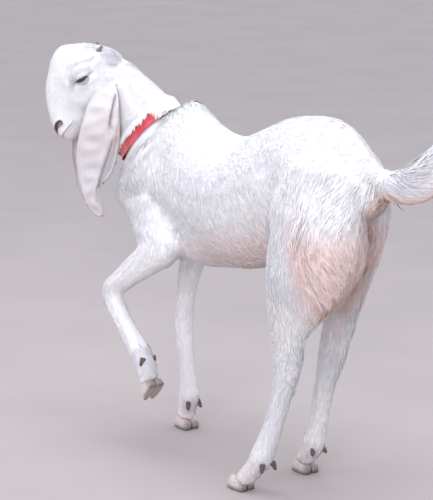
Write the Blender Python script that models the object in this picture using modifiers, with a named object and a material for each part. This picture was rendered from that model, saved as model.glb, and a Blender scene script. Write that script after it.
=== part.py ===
"""Young lop-eared goat, life size and standing still, as a museum would show it.

The head is turned to the goat's left and the left foreleg is lifted.
Run with: blender --background --python part.py
Units are metres. The goat faces -Y, its left side is +X and +Z is up.
The goat's own directions are forward, left and up, measured from the floor under its withers.
"""

import math

import bmesh
import bpy
from mathutils import Matrix, Vector

# Driving sizes
WITHERS_HEIGHT = 0.722
CROUP_HEIGHT = 0.735
BACK_HEIGHT = 0.669
BELLY_HEIGHT = 0.392
BARREL_HALF_WIDTH = 0.108
HEAD_LENGTH = 0.207
EAR_LENGTH = 0.270
EAR_HALF_WIDTH = 0.044
EAR_THICKNESS = 0.0065
EYE_RADIUS = 0.0145
HORN_LENGTH = 0.024
HORN_RADIUS = 0.0060
CLAW_LENGTH = 0.050
CLAW_HEIGHT = 0.031
CLAW_WIDTH = 0.0185
DEWCLAW_LENGTH = 0.019
DEWCLAW_RADIUS = 0.0068
COLLAR_WIDTH = 0.026
COLLAR_THICKNESS = 0.0045
COLLAR_EASE = 0.001
GAP = 0.0003

# Pose: where the head sits and how it is turned
POLL = (0.165, 0.079, 0.815)
HEAD_TURN = math.radians(61.5)
HEAD_DROP = math.radians(63.0)

# Mesh fineness
VOXEL = 0.0045
SMOOTHING_STEPS = 12
LOFT_SIDES = 28
LOFT_STEPS = 5
FLESH_TRIANGLES = 3860
# How readily each region gives up triangles when the flesh is thinned out
HEAD_THINNING = 0.2
LEG_THINNING = 0.7
BODY_THINNING = 1.0
THINNING_STRENGTH = 0.004

UP = Vector((0.0, 0.0, 1.0))
FORWARD = Vector((0.0, -1.0, 0.0))
LEFT = Vector((1.0, 0.0, 0.0))


def at(forward, left, up):
    """World point from the goat's own directions."""
    return FORWARD * forward + LEFT * left + UP * up


def head_frame():
    """Matrix whose axes are along the nose, out of the forehead and to the head's left."""
    facing = FORWARD * math.cos(HEAD_TURN) + LEFT * math.sin(HEAD_TURN)
    along_nose = facing * math.cos(HEAD_DROP) - UP * math.sin(HEAD_DROP)
    out_of_brow = facing * math.sin(HEAD_DROP) + UP * math.cos(HEAD_DROP)
    to_left = out_of_brow.cross(along_nose)
    frame = Matrix((along_nose, out_of_brow, to_left)).transposed().to_4x4()
    frame.translation = at(*POLL)
    return frame


HEAD = head_frame()
COLLAR_CENTRE = at(0.066, 0.019, 0.653)
COLLAR_AXIS = at(0.66, 0.30, 0.69).normalized()


def in_head(nose, brow, left):
    """World point from distances along the nose, toward the brow and to the head's left."""
    return HEAD @ Vector((nose, brow, left))


def in_direction(nose, brow, left):
    """World direction from the head's own directions."""
    return HEAD.to_3x3() @ Vector((nose, brow, left))


# ---------------------------------------------------------------- scene and objects

def clear_scene():
    for obj in list(bpy.data.objects):
        bpy.data.objects.remove(obj, do_unlink=True)


def make_collection(name):
    collection = bpy.data.collections.new(name)
    bpy.context.scene.collection.children.link(collection)
    return collection


def make_material(name, colour, roughness):
    material = bpy.data.materials.new(name)
    material.use_nodes = True
    shader = material.node_tree.nodes["Principled BSDF"]
    shader.inputs["Base Color"].default_value = (*colour, 1.0)
    shader.inputs["Roughness"].default_value = roughness
    shader.inputs["Metallic"].default_value = 0.0
    material.diffuse_color = (*colour, 1.0)
    return material


def mesh_object(name, source, collection):
    """Object from a bmesh, which is freed."""
    mesh = bpy.data.meshes.new(name)
    source.to_mesh(mesh)
    source.free()
    obj = bpy.data.objects.new(name, mesh)
    collection.objects.link(obj)
    return obj


def settle(obj):
    """Bake an object's modifiers into its mesh."""
    graph = bpy.context.evaluated_depsgraph_get()
    mesh = bpy.data.meshes.new_from_object(obj.evaluated_get(graph))
    obj.modifiers.clear()
    obj.data = mesh


def copy_object(obj, name, collection):
    twin = bpy.data.objects.new(name, obj.data.copy())
    twin.matrix_world = obj.matrix_world.copy()
    collection.objects.link(twin)
    return twin


def combine(obj, other, operation):
    """Boolean of two objects, baked."""
    modifier = obj.modifiers.new(operation.lower(), "BOOLEAN")
    modifier.operation = operation
    modifier.object = other
    bpy.context.view_layer.update()
    settle(obj)


def swollen(obj, amount, collection):
    """Copy of an object pushed out along its normals."""
    twin = copy_object(obj, obj.name + "_swollen", collection)
    for vertex in twin.data.vertices:
        vertex.co += vertex.normal * amount
    return twin


def shade_smooth(obj):
    for polygon in obj.data.polygons:
        polygon.use_smooth = True


# ---------------------------------------------------------------- shapes

def catmull(before, start, end, after, t):
    """Smooth value between start and end."""
    return 0.5 * (2.0 * start + (end - before) * t
                  + (2.0 * before - 5.0 * start + 4.0 * end - after) * t * t
                  + (3.0 * start - before - 3.0 * end + after) * t * t * t)


def smooth_rows(rows, steps):
    """Rows of numbers with smooth ones put in between."""
    result = []
    last = len(rows) - 1
    for index in range(last):
        picked = (rows[max(index - 1, 0)], rows[index], rows[index + 1], rows[min(index + 2, last)])
        for step in range(steps):
            t = step / steps
            result.append([catmull(*values, t) for values in zip(*picked)])
    result.append(list(rows[-1]))
    return result


def add_loft(shape, rows, centre_of, toward, normal=None, squareness=2.0, pinch=0.0):
    """Add a closed tube to a bmesh.

    Each row ends in the radii toward, away from and across the given direction, and
    centre_of turns the values before them into a point. A normal keeps the rings parallel.
    """
    rows = smooth_rows(rows, LOFT_STEPS)
    centres = [centre_of(*row[:-3]) for row in rows]
    rings = []
    for index, row in enumerate(rows):
        ahead = centres[min(index + 1, len(rows) - 1)]
        behind = centres[max(index - 1, 0)]
        tangent = normal or (ahead - behind).normalized()
        up = (toward - tangent * toward.dot(tangent)).normalized()
        across = tangent.cross(up)
        near, far, side = row[-3:]
        ring = []
        for corner in range(LOFT_SIDES):
            angle = 2.0 * math.pi * corner / LOFT_SIDES
            rise = math.copysign(abs(math.cos(angle)) ** (2.0 / squareness), math.cos(angle))
            spread = math.copysign(abs(math.sin(angle)) ** (2.0 / squareness), math.sin(angle))
            height = rise * (near if rise > 0.0 else far)
            width = spread * side * (1.0 - pinch * max(rise, 0.0) ** 2)
            ring.append(shape.verts.new(centres[index] + up * height + across * width))
        rings.append(ring)
    for lower, upper in zip(rings, rings[1:]):
        for corner in range(LOFT_SIDES):
            other = (corner + 1) % LOFT_SIDES
            shape.faces.new((lower[corner], lower[other], upper[other], upper[corner]))
    shape.faces.new(list(reversed(rings[0])))
    shape.faces.new(rings[-1])


def add_ellipsoid(shape, centre, radii, axes=None):
    """Add a stretched ball, its radii along the given axes or along forward, left and up."""
    turn = axes or Matrix((FORWARD, LEFT, UP)).transposed()
    placing = Matrix.Translation(centre) @ turn.to_4x4() @ Matrix.Diagonal((*radii, 1.0))
    bmesh.ops.create_uvsphere(shape, u_segments=24, v_segments=14, radius=1.0, matrix=placing)


def block(name, centre, size, axes, collection):
    """Box cutter, its size along the three axes."""
    shape = bmesh.new()
    placing = Matrix.Translation(centre) @ axes.to_4x4() @ Matrix.Diagonal((*size, 1.0))
    bmesh.ops.create_cube(shape, size=1.0, matrix=placing)
    bmesh.ops.recalc_face_normals(shape, faces=shape.faces)
    cutter = mesh_object(name, shape, collection)
    cutter.hide_render = True
    cutter.display_type = "WIRE"
    return cutter


# ---------------------------------------------------------------- flesh

def add_trunk(shape):
    """Chest, barrel, loin and rump, as upright sections from the breast back."""
    # forward, top, bottom, half width
    sections = (
        (0.148, 0.545, 0.462, 0.030),
        (0.128, 0.592, 0.422, 0.056),
        (0.080, 0.652, 0.398, 0.076),
        (0.025, 0.690, 0.388, 0.086),
        (-0.025, WITHERS_HEIGHT, BELLY_HEIGHT - 0.004, 0.094),
        (-0.075, 0.692, BELLY_HEIGHT - 0.002, 0.101),
        (-0.130, 0.672, BELLY_HEIGHT + 0.002, BARREL_HALF_WIDTH),
        (-0.190, BACK_HEIGHT, BELLY_HEIGHT + 0.010, BARREL_HALF_WIDTH + 0.004),
        (-0.250, 0.689, BELLY_HEIGHT + 0.020, BARREL_HALF_WIDTH),
        (-0.320, 0.719, BELLY_HEIGHT + 0.045, 0.098),
        (-0.385, 0.732, 0.470, 0.094),
        (-0.445, CROUP_HEIGHT, 0.505, 0.082),
        (-0.500, 0.716, 0.528, 0.062),
        (-0.545, 0.680, 0.548, 0.044),
        (-0.585, 0.652, 0.575, 0.027),
    )
    rows = []
    for forward, top, bottom, half_width in sections:
        middle = bottom + 0.47 * (top - bottom)
        rows.append((forward, 0.0, middle, top - middle, middle - bottom, half_width))
    add_loft(shape, rows, at, UP, normal=-FORWARD, squareness=2.15, pinch=0.28)


def add_neck(shape):
    """Neck from inside the shoulders to the back of the head."""
    # forward, left, up, then radii up, down and sideways
    rows = (
        (-0.010, 0.000, 0.575, 0.030, 0.060, 0.040),
        (0.030, 0.005, 0.612, 0.044, 0.096, 0.062),
        (0.066, 0.018, 0.650, 0.060, 0.096, 0.062),
        (0.100, 0.036, 0.692, 0.062, 0.088, 0.055),
        (0.130, 0.055, 0.736, 0.050, 0.074, 0.046),
        (0.150, 0.069, 0.766, 0.040, 0.056, 0.038),
        (0.163, 0.078, 0.782, 0.020, 0.036, 0.024),
    )
    add_loft(shape, rows, at, UP, pinch=0.15)


def add_head(shape):
    """Skull and muzzle, as sections square to the nose."""
    nose_axis = (HEAD.to_3x3() @ Vector((1.0, 0.0, 0.0))).normalized()
    brow_axis = (HEAD.to_3x3() @ Vector((0.0, 1.0, 0.0))).normalized()
    # distance along the nose, top, bottom, half width
    sections = (
        (-0.004, 0.000, -0.030, 0.018),
        (0.004, 0.022, -0.046, 0.033),
        (0.017, 0.052, -0.060, 0.043),
        (0.038, 0.083, -0.067, 0.048),
        (0.068, 0.089, -0.066, 0.048),
        (0.098, 0.082, -0.060, 0.043),
        (0.128, 0.074, -0.052, 0.035),
        (0.150, 0.062, -0.046, 0.030),
        (0.168, 0.049, -0.041, 0.029),
        (0.184, 0.036, -0.037, 0.028),
        (0.198, 0.020, -0.033, 0.024),
        (HEAD_LENGTH, 0.004, -0.024, 0.014),
    )
    rows = []
    for nose, top, bottom, half_width in sections:
        middle = 0.5 * (top + bottom)
        rows.append((nose, middle, 0.0, top - middle, middle - bottom, half_width))
    add_loft(shape, rows, in_head, brow_axis, normal=nose_axis, squareness=2.3, pinch=0.22)
    turn = HEAD.to_3x3()
    for side in (-1.0, 1.0):
        add_ellipsoid(shape, in_head(0.064, 0.038, side * 0.034), (0.030, 0.020, 0.015), turn)
        add_ellipsoid(shape, in_head(0.085, -0.024, side * 0.030), (0.040, 0.034, 0.017), turn)
        add_ellipsoid(shape, in_head(0.050, -0.030, side * 0.040), (0.020, 0.020, 0.014), turn)
        add_ellipsoid(shape, in_head(0.190, 0.004, side * 0.016), (0.016, 0.014, 0.012), turn)


def add_shoulder(shape, side, shift):
    """Shoulder blade, point of the shoulder and upper arm, moved forward by shift."""
    blade = (
        (-0.012, side * 0.016, 0.706, 0.012, 0.020, 0.006),
        (-0.008, side * 0.034, 0.680, 0.030, 0.040, 0.018),
        (0.020 + shift, side * 0.060, 0.620, 0.050, 0.060, 0.030),
        (0.056 + shift, side * 0.070, 0.560, 0.056, 0.065, 0.034),
        (0.090 + shift, side * 0.072, 0.508, 0.034, 0.045, 0.028),
        (0.092 + shift, side * 0.060, 0.490, 0.014, 0.020, 0.012),
    )
    add_loft(shape, blade, at, FORWARD)


# Each limb row: forward, left, up, then radii fore, aft and sideways
RIGHT_FORELEG = (
    (0.062, -0.050, 0.545, 0.020, 0.030, 0.015),
    (0.056, -0.070, 0.500, 0.042, 0.055, 0.030),
    (0.044, -0.076, 0.450, 0.044, 0.050, 0.033),
    (0.052, -0.071, 0.400, 0.036, 0.037, 0.028),
    (0.066, -0.062, 0.335, 0.027, 0.025, 0.023),
    (0.073, -0.056, 0.268, 0.021, 0.019, 0.020),
    (0.076, -0.055, 0.218, 0.021, 0.019, 0.021),
    (0.072, -0.055, 0.180, 0.018, 0.020, 0.019),
    (0.065, -0.055, 0.125, 0.017, 0.019, 0.018),
    (0.060, -0.055, 0.072, 0.019, 0.022, 0.023),
    (0.066, -0.055, 0.045, 0.017, 0.018, 0.020),
    (0.074, -0.055, 0.018, 0.018, 0.020, 0.021),
)
LEFT_FORELEG = (
    (0.070, 0.055, 0.545, 0.020, 0.030, 0.015),
    (0.048, 0.076, 0.508, 0.042, 0.055, 0.030),
    (-0.010, 0.088, 0.470, 0.050, 0.058, 0.036),
    (-0.062, 0.098, 0.442, 0.040, 0.042, 0.034),
    (-0.012, 0.119, 0.398, 0.031, 0.034, 0.028),
    (0.030, 0.131, 0.362, 0.025, 0.025, 0.024),
    (0.062, 0.139, 0.333, 0.021, 0.020, 0.022),
    (0.048, 0.139, 0.300, 0.021, 0.020, 0.020),
    (0.015, 0.137, 0.262, 0.020, 0.020, 0.019),
    (-0.024, 0.135, 0.220, 0.022, 0.023, 0.023),
    (-0.041, 0.133, 0.197, 0.019, 0.020, 0.021),
    (-0.050, 0.132, 0.172, 0.018, 0.019, 0.021),
    (-0.047, 0.131, 0.150, 0.017, 0.018, 0.019),
)
RIGHT_HINDLEG = (
    (-0.440, -0.030, 0.690, 0.030, 0.030, 0.012),
    (-0.445, -0.048, 0.650, 0.066, 0.070, 0.034),
    (-0.448, -0.062, 0.590, 0.082, 0.086, 0.042),
    (-0.435, -0.076, 0.520, 0.086, 0.066, 0.043),
    (-0.412, -0.084, 0.455, 0.068, 0.060, 0.040),
    (-0.398, -0.080, 0.390, 0.047, 0.050, 0.034),
    (-0.390, -0.072, 0.325, 0.033, 0.041, 0.027),
    (-0.384, -0.064, 0.268, 0.029, 0.032, 0.026),
    (-0.372, -0.061, 0.215, 0.024, 0.024, 0.022),
    (-0.353, -0.061, 0.140, 0.020, 0.021, 0.020),
    (-0.334, -0.062, 0.070, 0.022, 0.024, 0.024),
    (-0.318, -0.063, 0.044, 0.019, 0.020, 0.022),
    (-0.302, -0.064, 0.018, 0.019, 0.020, 0.022),
)
LEFT_HINDLEG = (
    (-0.440, 0.030, 0.690, 0.030, 0.030, 0.012),
    (-0.446, 0.048, 0.650, 0.066, 0.070, 0.034),
    (-0.453, 0.064, 0.590, 0.082, 0.098, 0.044),
    (-0.455, 0.082, 0.520, 0.076, 0.094, 0.046),
    (-0.448, 0.094, 0.455, 0.060, 0.076, 0.043),
    (-0.440, 0.097, 0.395, 0.048, 0.052, 0.035),
    (-0.434, 0.096, 0.338, 0.038, 0.041, 0.029),
    (-0.431, 0.092, 0.284, 0.032, 0.034, 0.024),
    (-0.420, 0.091, 0.232, 0.023, 0.024, 0.022),
    (-0.396, 0.093, 0.155, 0.020, 0.021, 0.020),
    (-0.366, 0.097, 0.082, 0.022, 0.023, 0.024),
    (-0.344, 0.099, 0.052, 0.019, 0.020, 0.021),
    (-0.314, 0.101, 0.018, 0.020, 0.020, 0.022),
)
# Backs of the thighs, which meet under the tail; the left leg is drawn further back
LEFT_HAM = (
    (-0.496, 0.034, 0.640, 0.050, 0.050, 0.030),
    (-0.510, 0.044, 0.590, 0.064, 0.060, 0.046),
    (-0.512, 0.053, 0.540, 0.074, 0.064, 0.060),
    (-0.509, 0.057, 0.492, 0.072, 0.062, 0.063),
    (-0.489, 0.068, 0.432, 0.062, 0.050, 0.050),
    (-0.466, 0.079, 0.382, 0.048, 0.036, 0.033),
    (-0.450, 0.086, 0.340, 0.028, 0.024, 0.018),
)
RIGHT_HAM = (
    (-0.486, -0.030, 0.630, 0.050, 0.044, 0.028),
    (-0.488, -0.040, 0.580, 0.060, 0.050, 0.040),
    (-0.476, -0.044, 0.530, 0.064, 0.050, 0.044),
    (-0.460, -0.048, 0.485, 0.062, 0.048, 0.044),
    (-0.442, -0.058, 0.430, 0.054, 0.040, 0.038),
    (-0.426, -0.066, 0.380, 0.042, 0.032, 0.028),
    (-0.412, -0.070, 0.335, 0.024, 0.020, 0.018),
)
TAIL = (
    (-0.560, 0.000, 0.640, 0.018, 0.040, 0.030),
    (-0.600, 0.000, 0.634, 0.024, 0.040, 0.030),
    (-0.645, 0.000, 0.642, 0.028, 0.045, 0.030),
    (-0.690, 0.000, 0.665, 0.032, 0.050, 0.028),
    (-0.735, 0.000, 0.700, 0.030, 0.046, 0.024),
    (-0.775, 0.000, 0.742, 0.022, 0.032, 0.018),
    (-0.800, 0.000, 0.780, 0.008, 0.010, 0.007),
)


def make_flesh(collection):
    """The whole body as one smooth skin, without ears, eyes, horns and claws."""
    shape = bmesh.new()
    add_trunk(shape)
    add_neck(shape)
    add_head(shape)
    add_shoulder(shape, -1.0, 0.0)
    add_shoulder(shape, 1.0, 0.003)
    for rows in (RIGHT_FORELEG, LEFT_FORELEG, RIGHT_HINDLEG, LEFT_HINDLEG, LEFT_HAM, RIGHT_HAM):
        add_loft(shape, rows, at, FORWARD)
    add_loft(shape, TAIL, at, UP)
    bmesh.ops.recalc_face_normals(shape, faces=shape.faces)
    flesh = mesh_object("flesh", shape, collection)
    remesh = flesh.modifiers.new("join", "REMESH")
    remesh.mode = "VOXEL"
    remesh.voxel_size = VOXEL
    smooth = flesh.modifiers.new("soften", "SMOOTH")
    smooth.factor = 0.5
    smooth.iterations = SMOOTHING_STEPS
    settle(flesh)
    return flesh


def thin_out(flesh):
    """Decimate the flesh, keeping more triangles on the head and the legs."""
    coarse = flesh.vertex_groups.new(name="coarse")
    head_centre = in_head(0.5 * HEAD_LENGTH, 0.0, 0.0)
    head_reach = 0.56 * HEAD_LENGTH
    leg_top = 0.9 * BELLY_HEIGHT
    for vertex in flesh.data.vertices:
        weight = BODY_THINNING
        if (vertex.co - head_centre).length < head_reach:
            weight = HEAD_THINNING
        elif vertex.co.z < leg_top:
            weight = LEG_THINNING
        coarse.add([vertex.index], weight, "REPLACE")
    decimate = flesh.modifiers.new("thin", "DECIMATE")
    decimate.ratio = FLESH_TRIANGLES / (2.0 * len(flesh.data.polygons))
    decimate.vertex_group = coarse.name
    decimate.vertex_group_factor = THINNING_STRENGTH
    settle(flesh)


def axes_along(direction, upward):
    """Rotation whose Z axis is the direction and whose Y axis leans upward."""
    z_axis = direction.normalized()
    y_axis = (upward - z_axis * upward.dot(z_axis)).normalized()
    x_axis = y_axis.cross(z_axis)
    return Matrix((x_axis, y_axis, z_axis)).transposed()


def beyond(point, direction, upward, reach, size, name, cutters):
    """Box that starts at a point and reaches along a direction, and a slightly larger twin."""
    axes = axes_along(direction, upward)
    centre = point + direction.normalized() * reach * 0.5
    box = block(name, centre, (size[0], size[1], reach), axes, cutters)
    grown = (size[0] + 2.0 * GAP, size[1] + 2.0 * GAP, reach + 2.0 * GAP)
    larger = block(name + "_larger", centre, grown, axes, cutters)
    return box, larger


def part_off(flesh, name, cutter_pair, collection):
    """Cut a piece off the flesh, leaving a thin gap."""
    piece = copy_object(flesh, name, collection)
    combine(piece, cutter_pair[0], "INTERSECT")
    combine(flesh, cutter_pair[1], "DIFFERENCE")
    return piece


def part_flesh(flesh, collection, cutters):
    """Divide the flesh into head, neck, trunk, tail and legs."""
    under_collar = COLLAR_CENTRE - 0.6 * COLLAR_WIDTH * COLLAR_AXIS
    # name, middle of the cut, direction beyond it, upward, reach and size
    cuts = [
        ("tail", at(-0.600, 0.0, 0.640), at(-1.0, 0.0, 0.1), UP, 0.3, (0.2, 0.3)),
        ("head", in_head(0.008, 0.02, 0.0), in_direction(1.0, 0.55, 0.0), UP, 0.3, (0.3, 0.3)),
        ("neck", under_collar, COLLAR_AXIS, UP, 0.3, (0.3, 0.34)),
    ]
    leaning = at(-0.30, 0.0, 1.0)
    for side, word in ((1.0, "left"), (-1.0, "right")):
        inner = side * LEFT
        armpit = at(0.02, side * 0.032, 0.225)
        cuts.append(("foreleg_" + word, armpit, inner, UP, 0.2, (0.34, 0.51)))
        groin = at(-0.435, side * 0.5 * GAP, 0.275)
        cuts.append(("hindleg_" + word, groin, inner, leaning, 0.2, (0.30, 0.58)))
    pieces = {}
    for name, point, direction, upward, reach, size in cuts:
        pair = beyond(point, direction, upward, reach, size, name + "_box", cutters)
        pieces[name] = part_off(flesh, name, pair, collection)
    flesh.name = "trunk"
    pieces["trunk"] = flesh
    return pieces


# ---------------------------------------------------------------- small pieces

def make_ear(side, collection):
    """Long folded ear that hangs beside the cheek."""
    # share of the length from the root, reach toward the nose, half width, distance out
    outline = (
        (0.000, 0.000, 0.30, 0.050),
        (0.060, 0.006, 0.50, 0.070),
        (0.160, 0.014, 0.72, 0.084),
        (0.300, 0.020, 0.88, 0.088),
        (0.450, 0.024, 0.99, 0.081),
        (0.590, 0.027, 0.93, 0.071),
        (0.680, 0.030, 0.78, 0.065),
        (0.760, 0.039, 0.49, 0.062),
        (0.820, 0.040, 0.39, 0.061),
        (0.910, 0.033, 0.35, 0.060),
        (1.000, 0.022, 0.22, 0.058),
    )
    facing = FORWARD * math.cos(HEAD_TURN) + LEFT * math.sin(HEAD_TURN)
    outward = facing.cross(UP) * -side
    root = in_head(0.062, -0.033, 0.0)
    rows = smooth_rows(outline, 2)
    columns = 7
    shape = bmesh.new()
    grid = []
    for share, reach, breadth, out in rows:
        line = []
        for column in range(columns):
            across = 2.0 * column / (columns - 1) - 1.0
            curl = 0.017 * breadth * across * across
            lean = (0.013 * across if side > 0.0 else 0.0) * (1.0 - share)
            width = facing * (reach + EAR_HALF_WIDTH * breadth * across)
            depth = outward * ((out if side > 0.0 else out - 0.018) - curl - lean)
            line.append(shape.verts.new(root + width + depth - UP * EAR_LENGTH * share))
        grid.append(line)
    for upper, lower in zip(grid, grid[1:]):
        for column in range(columns - 1):
            corners = (upper[column], upper[column + 1], lower[column + 1], lower[column])
            shape.faces.new(corners)
    ear = mesh_object("ear_left" if side > 0.0 else "ear_right", shape, collection)
    shell = ear.modifiers.new("thickness", "SOLIDIFY")
    shell.thickness = EAR_THICKNESS
    shell.offset = 0.0
    settle(ear)
    return ear


def make_eye(side, collection):
    shape = bmesh.new()
    bmesh.ops.create_uvsphere(shape, u_segments=14, v_segments=8, radius=EYE_RADIUS)
    eye = mesh_object("eye_left" if side > 0.0 else "eye_right", shape, collection)
    eye.location = in_head(0.075, 0.019, side * 0.0355)
    return eye


def horny_cone(name, radius, tip_share, length, collection):
    """Blunt cone toward local Z with a softened rim."""
    shape = bmesh.new()
    bmesh.ops.create_cone(shape, cap_ends=True, segments=9, radius1=radius,
                          radius2=tip_share * radius, depth=length)
    cone = mesh_object(name, shape, collection)
    rim = cone.modifiers.new("round", "BEVEL")
    rim.width = 0.2 * radius
    rim.angle_limit = math.radians(45.0)
    rim.segments = 1
    settle(cone)
    return cone


def make_horn(side, collection):
    """Small horn bud that leans back from the top of the head."""
    name = "horn_left" if side > 0.0 else "horn_right"
    horn = horny_cone(name, HORN_RADIUS, 0.45, HORN_LENGTH, collection)
    lean = in_direction(-0.96, -0.22, side * 0.14)
    axes = axes_along(lean, in_direction(0.0, 0.0, side))
    middle = in_head(0.010, 0.0125, side * 0.034)
    horn.matrix_world = Matrix.Translation(middle) @ axes.to_4x4()
    return horn


def claw_shape():
    """One claw: flat sole, sloping front wall and low heel, toe toward local X."""
    # distance to the toe, height, half width, sideways drift of the middle
    stations = (
        (-0.50, 0.30, 0.28, 0.00),
        (-0.44, 0.72, 0.46, 0.00),
        (-0.20, 0.95, 0.50, 0.00),
        (0.08, 1.10, 0.49, 0.00),
        (0.26, 0.86, 0.43, -0.02),
        (0.40, 0.46, 0.31, -0.06),
        (0.50, 0.14, 0.14, -0.10),
    )
    shape = bmesh.new()
    rings = []
    for reach, height, half, drift in stations:
        ring = []
        for corner in range(12):
            angle = 2.0 * math.pi * corner / 12
            spread = math.copysign(abs(math.cos(angle)) ** 0.7, math.cos(angle))
            rise = math.copysign(abs(math.sin(angle)) ** 0.7, math.sin(angle))
            level = rise * height * CLAW_HEIGHT if rise > 0.0 else rise * 0.1 * CLAW_HEIGHT
            aside = (drift + spread * half) * CLAW_WIDTH
            ring.append(shape.verts.new((reach * CLAW_LENGTH, aside, level)))
        rings.append(ring)
    for back, front in zip(rings, rings[1:]):
        for corner in range(12):
            other = (corner + 1) % 12
            shape.faces.new((back[corner], back[other], front[other], front[corner]))
    shape.faces.new(list(reversed(rings[0])))
    shape.faces.new(rings[-1])
    bmesh.ops.recalc_face_normals(shape, faces=shape.faces)
    flatten(shape, Vector((0.0, 0.0, 0.0)), Vector((0.0, 0.0, -1.0)))
    flatten(shape, CORONET_POINT - CORONET_NORMAL * GAP, CORONET_NORMAL)
    return shape


def flatten(shape, point, normal):
    """Cut off what lies beyond a plane and close the cut."""
    geometry = list(shape.verts) + list(shape.edges) + list(shape.faces)
    cut = bmesh.ops.bisect_plane(shape, geom=geometry, plane_co=point, plane_no=normal, clear_outer=True)
    rim = [item for item in cut["geom_cut"] if isinstance(item, bmesh.types.BMEdge)]
    bmesh.ops.contextual_create(shape, geom=rim)
    bmesh.ops.recalc_face_normals(shape, faces=shape.faces)


# Coronet: the sloping edge where skin meets claw, in a foot's own frame
CORONET_POINT = Vector((0.0, 0.0, 0.024))
CORONET_NORMAL = Vector((-0.32, 0.0, 1.0)).normalized()

# Each foot: forward, left, up of the middle of its sole, pitch down and turn out in degrees
FEET = {
    "foreleg_right": (0.071, -0.055, 0.0, 0.0, 0.0),
    "foreleg_left": (-0.064, 0.131, 0.143, 52.0, 0.0),
    "hindleg_right": (-0.304, -0.064, 0.0, 0.0, 0.0),
    "hindleg_left": (-0.303, 0.101, 0.0, 0.0, 4.0),
}


def foot_frame(name):
    forward, left, up, pitch, turn = FEET[name]
    toe = at(math.cos(math.radians(turn)), math.sin(math.radians(turn)), 0.0)
    axes = Matrix((toe, UP.cross(toe), UP)).transposed()
    axes = axes @ Matrix.Rotation(math.radians(pitch), 3, "Y")
    frame = axes.to_4x4()
    frame.translation = at(forward, left, up)
    return frame


def make_claws(leg, collection, cutters):
    """Two claws under a leg, whose skin is first cut off at the coronet."""
    frame = foot_frame(leg.name)
    normal = frame.to_3x3() @ CORONET_NORMAL
    start = frame @ CORONET_POINT
    box, _ = beyond(start, -normal, frame.to_3x3() @ Vector((0.0, 1.0, 0.0)), 0.06, (0.12, 0.08),
                    "coronet_box_" + leg.name, cutters)
    combine(leg, box, "DIFFERENCE")
    claws = []
    for side, word in ((1.0, "outer"), (-1.0, "inner")):
        if leg.name.endswith("right"):
            word = "inner" if side > 0.0 else "outer"
        shape = claw_shape()
        if side < 0.0:
            bmesh.ops.scale(shape, vec=(1.0, -1.0, 1.0), verts=shape.verts)
            bmesh.ops.reverse_faces(shape, faces=shape.faces)
        claw = mesh_object("claw_" + word + "_" + leg.name, shape, collection)
        offset = Matrix.Translation((0.0, side * 0.54 * CLAW_WIDTH, 0.0))
        claw.matrix_world = frame @ offset
        claws.append(claw)
    return claws


# Dewclaws hang behind each fetlock: forward, left, up of their middle, and pitch in degrees
FETLOCKS = {
    "foreleg_right": (0.043, -0.055, 0.056, 0.0),
    "foreleg_left": (-0.051, 0.134, 0.206, 25.0),
    "hindleg_right": (-0.348, -0.062, 0.054, 0.0),
    "hindleg_left": (-0.383, 0.097, 0.062, 10.0),
}


def make_dewclaws(leg, collection):
    forward, left, up, pitch = FETLOCKS[leg.name]
    dewclaws = []
    for side in (-1.0, 1.0):
        word = "outer" if (side > 0.0) == leg.name.endswith("left") else "inner"
        name = "dewclaw_" + word + "_" + leg.name
        dewclaw = horny_cone(name, DEWCLAW_RADIUS, 0.5, DEWCLAW_LENGTH, collection)
        lean = at(-0.35, side * 0.35, -1.0)
        axes = Matrix.Rotation(math.radians(-pitch), 3, "X") @ axes_along(lean, at(-1.0, 0.0, 0.0))
        dewclaw.matrix_world = Matrix.Translation(at(forward, left + side * 0.015, up)) @ axes.to_4x4()
        dewclaws.append(dewclaw)
    return dewclaws


def make_collar(neck, collection, cutters):
    """Flat band round the base of the neck."""
    collar = swollen(neck, COLLAR_THICKNESS, collection)
    collar.name = "collar"
    slab, _ = beyond(COLLAR_CENTRE, COLLAR_AXIS, UP, COLLAR_WIDTH, (0.4, 0.4), "collar_box", cutters)
    combine(collar, slab, "INTERSECT")
    inside = swollen(neck, COLLAR_EASE, cutters)
    combine(collar, inside, "DIFFERENCE")
    bpy.data.objects.remove(inside, do_unlink=True)
    return collar


def carve(piece, body, cutters):
    """Cut a piece back to just clear of a body."""
    around = swollen(body, GAP, cutters)
    combine(piece, around, "DIFFERENCE")
    bpy.data.objects.remove(around, do_unlink=True)


def sink_eye(head, eye, cutters):
    """Make room in the head for an eye."""
    room = swollen(eye, GAP, cutters)
    combine(head, room, "DIFFERENCE")
    bpy.data.objects.remove(room, do_unlink=True)


def stand_on_origin(objects):
    """Parent all to one empty and move it so that the goat stands over the origin."""
    bpy.context.view_layer.update()
    corners = []
    for obj in objects:
        corners.extend(obj.matrix_world @ vertex.co for vertex in obj.data.vertices)
    low = Vector([min(corner[axis] for corner in corners) for axis in range(3)])
    high = Vector([max(corner[axis] for corner in corners) for axis in range(3)])
    holder = bpy.data.objects.new("goat", None)
    objects[0].users_collection[0].objects.link(holder)
    for obj in objects:
        obj.parent = holder
    holder.location = (-0.5 * (low.x + high.x), -0.5 * (low.y + high.y), -low.z)


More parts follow.
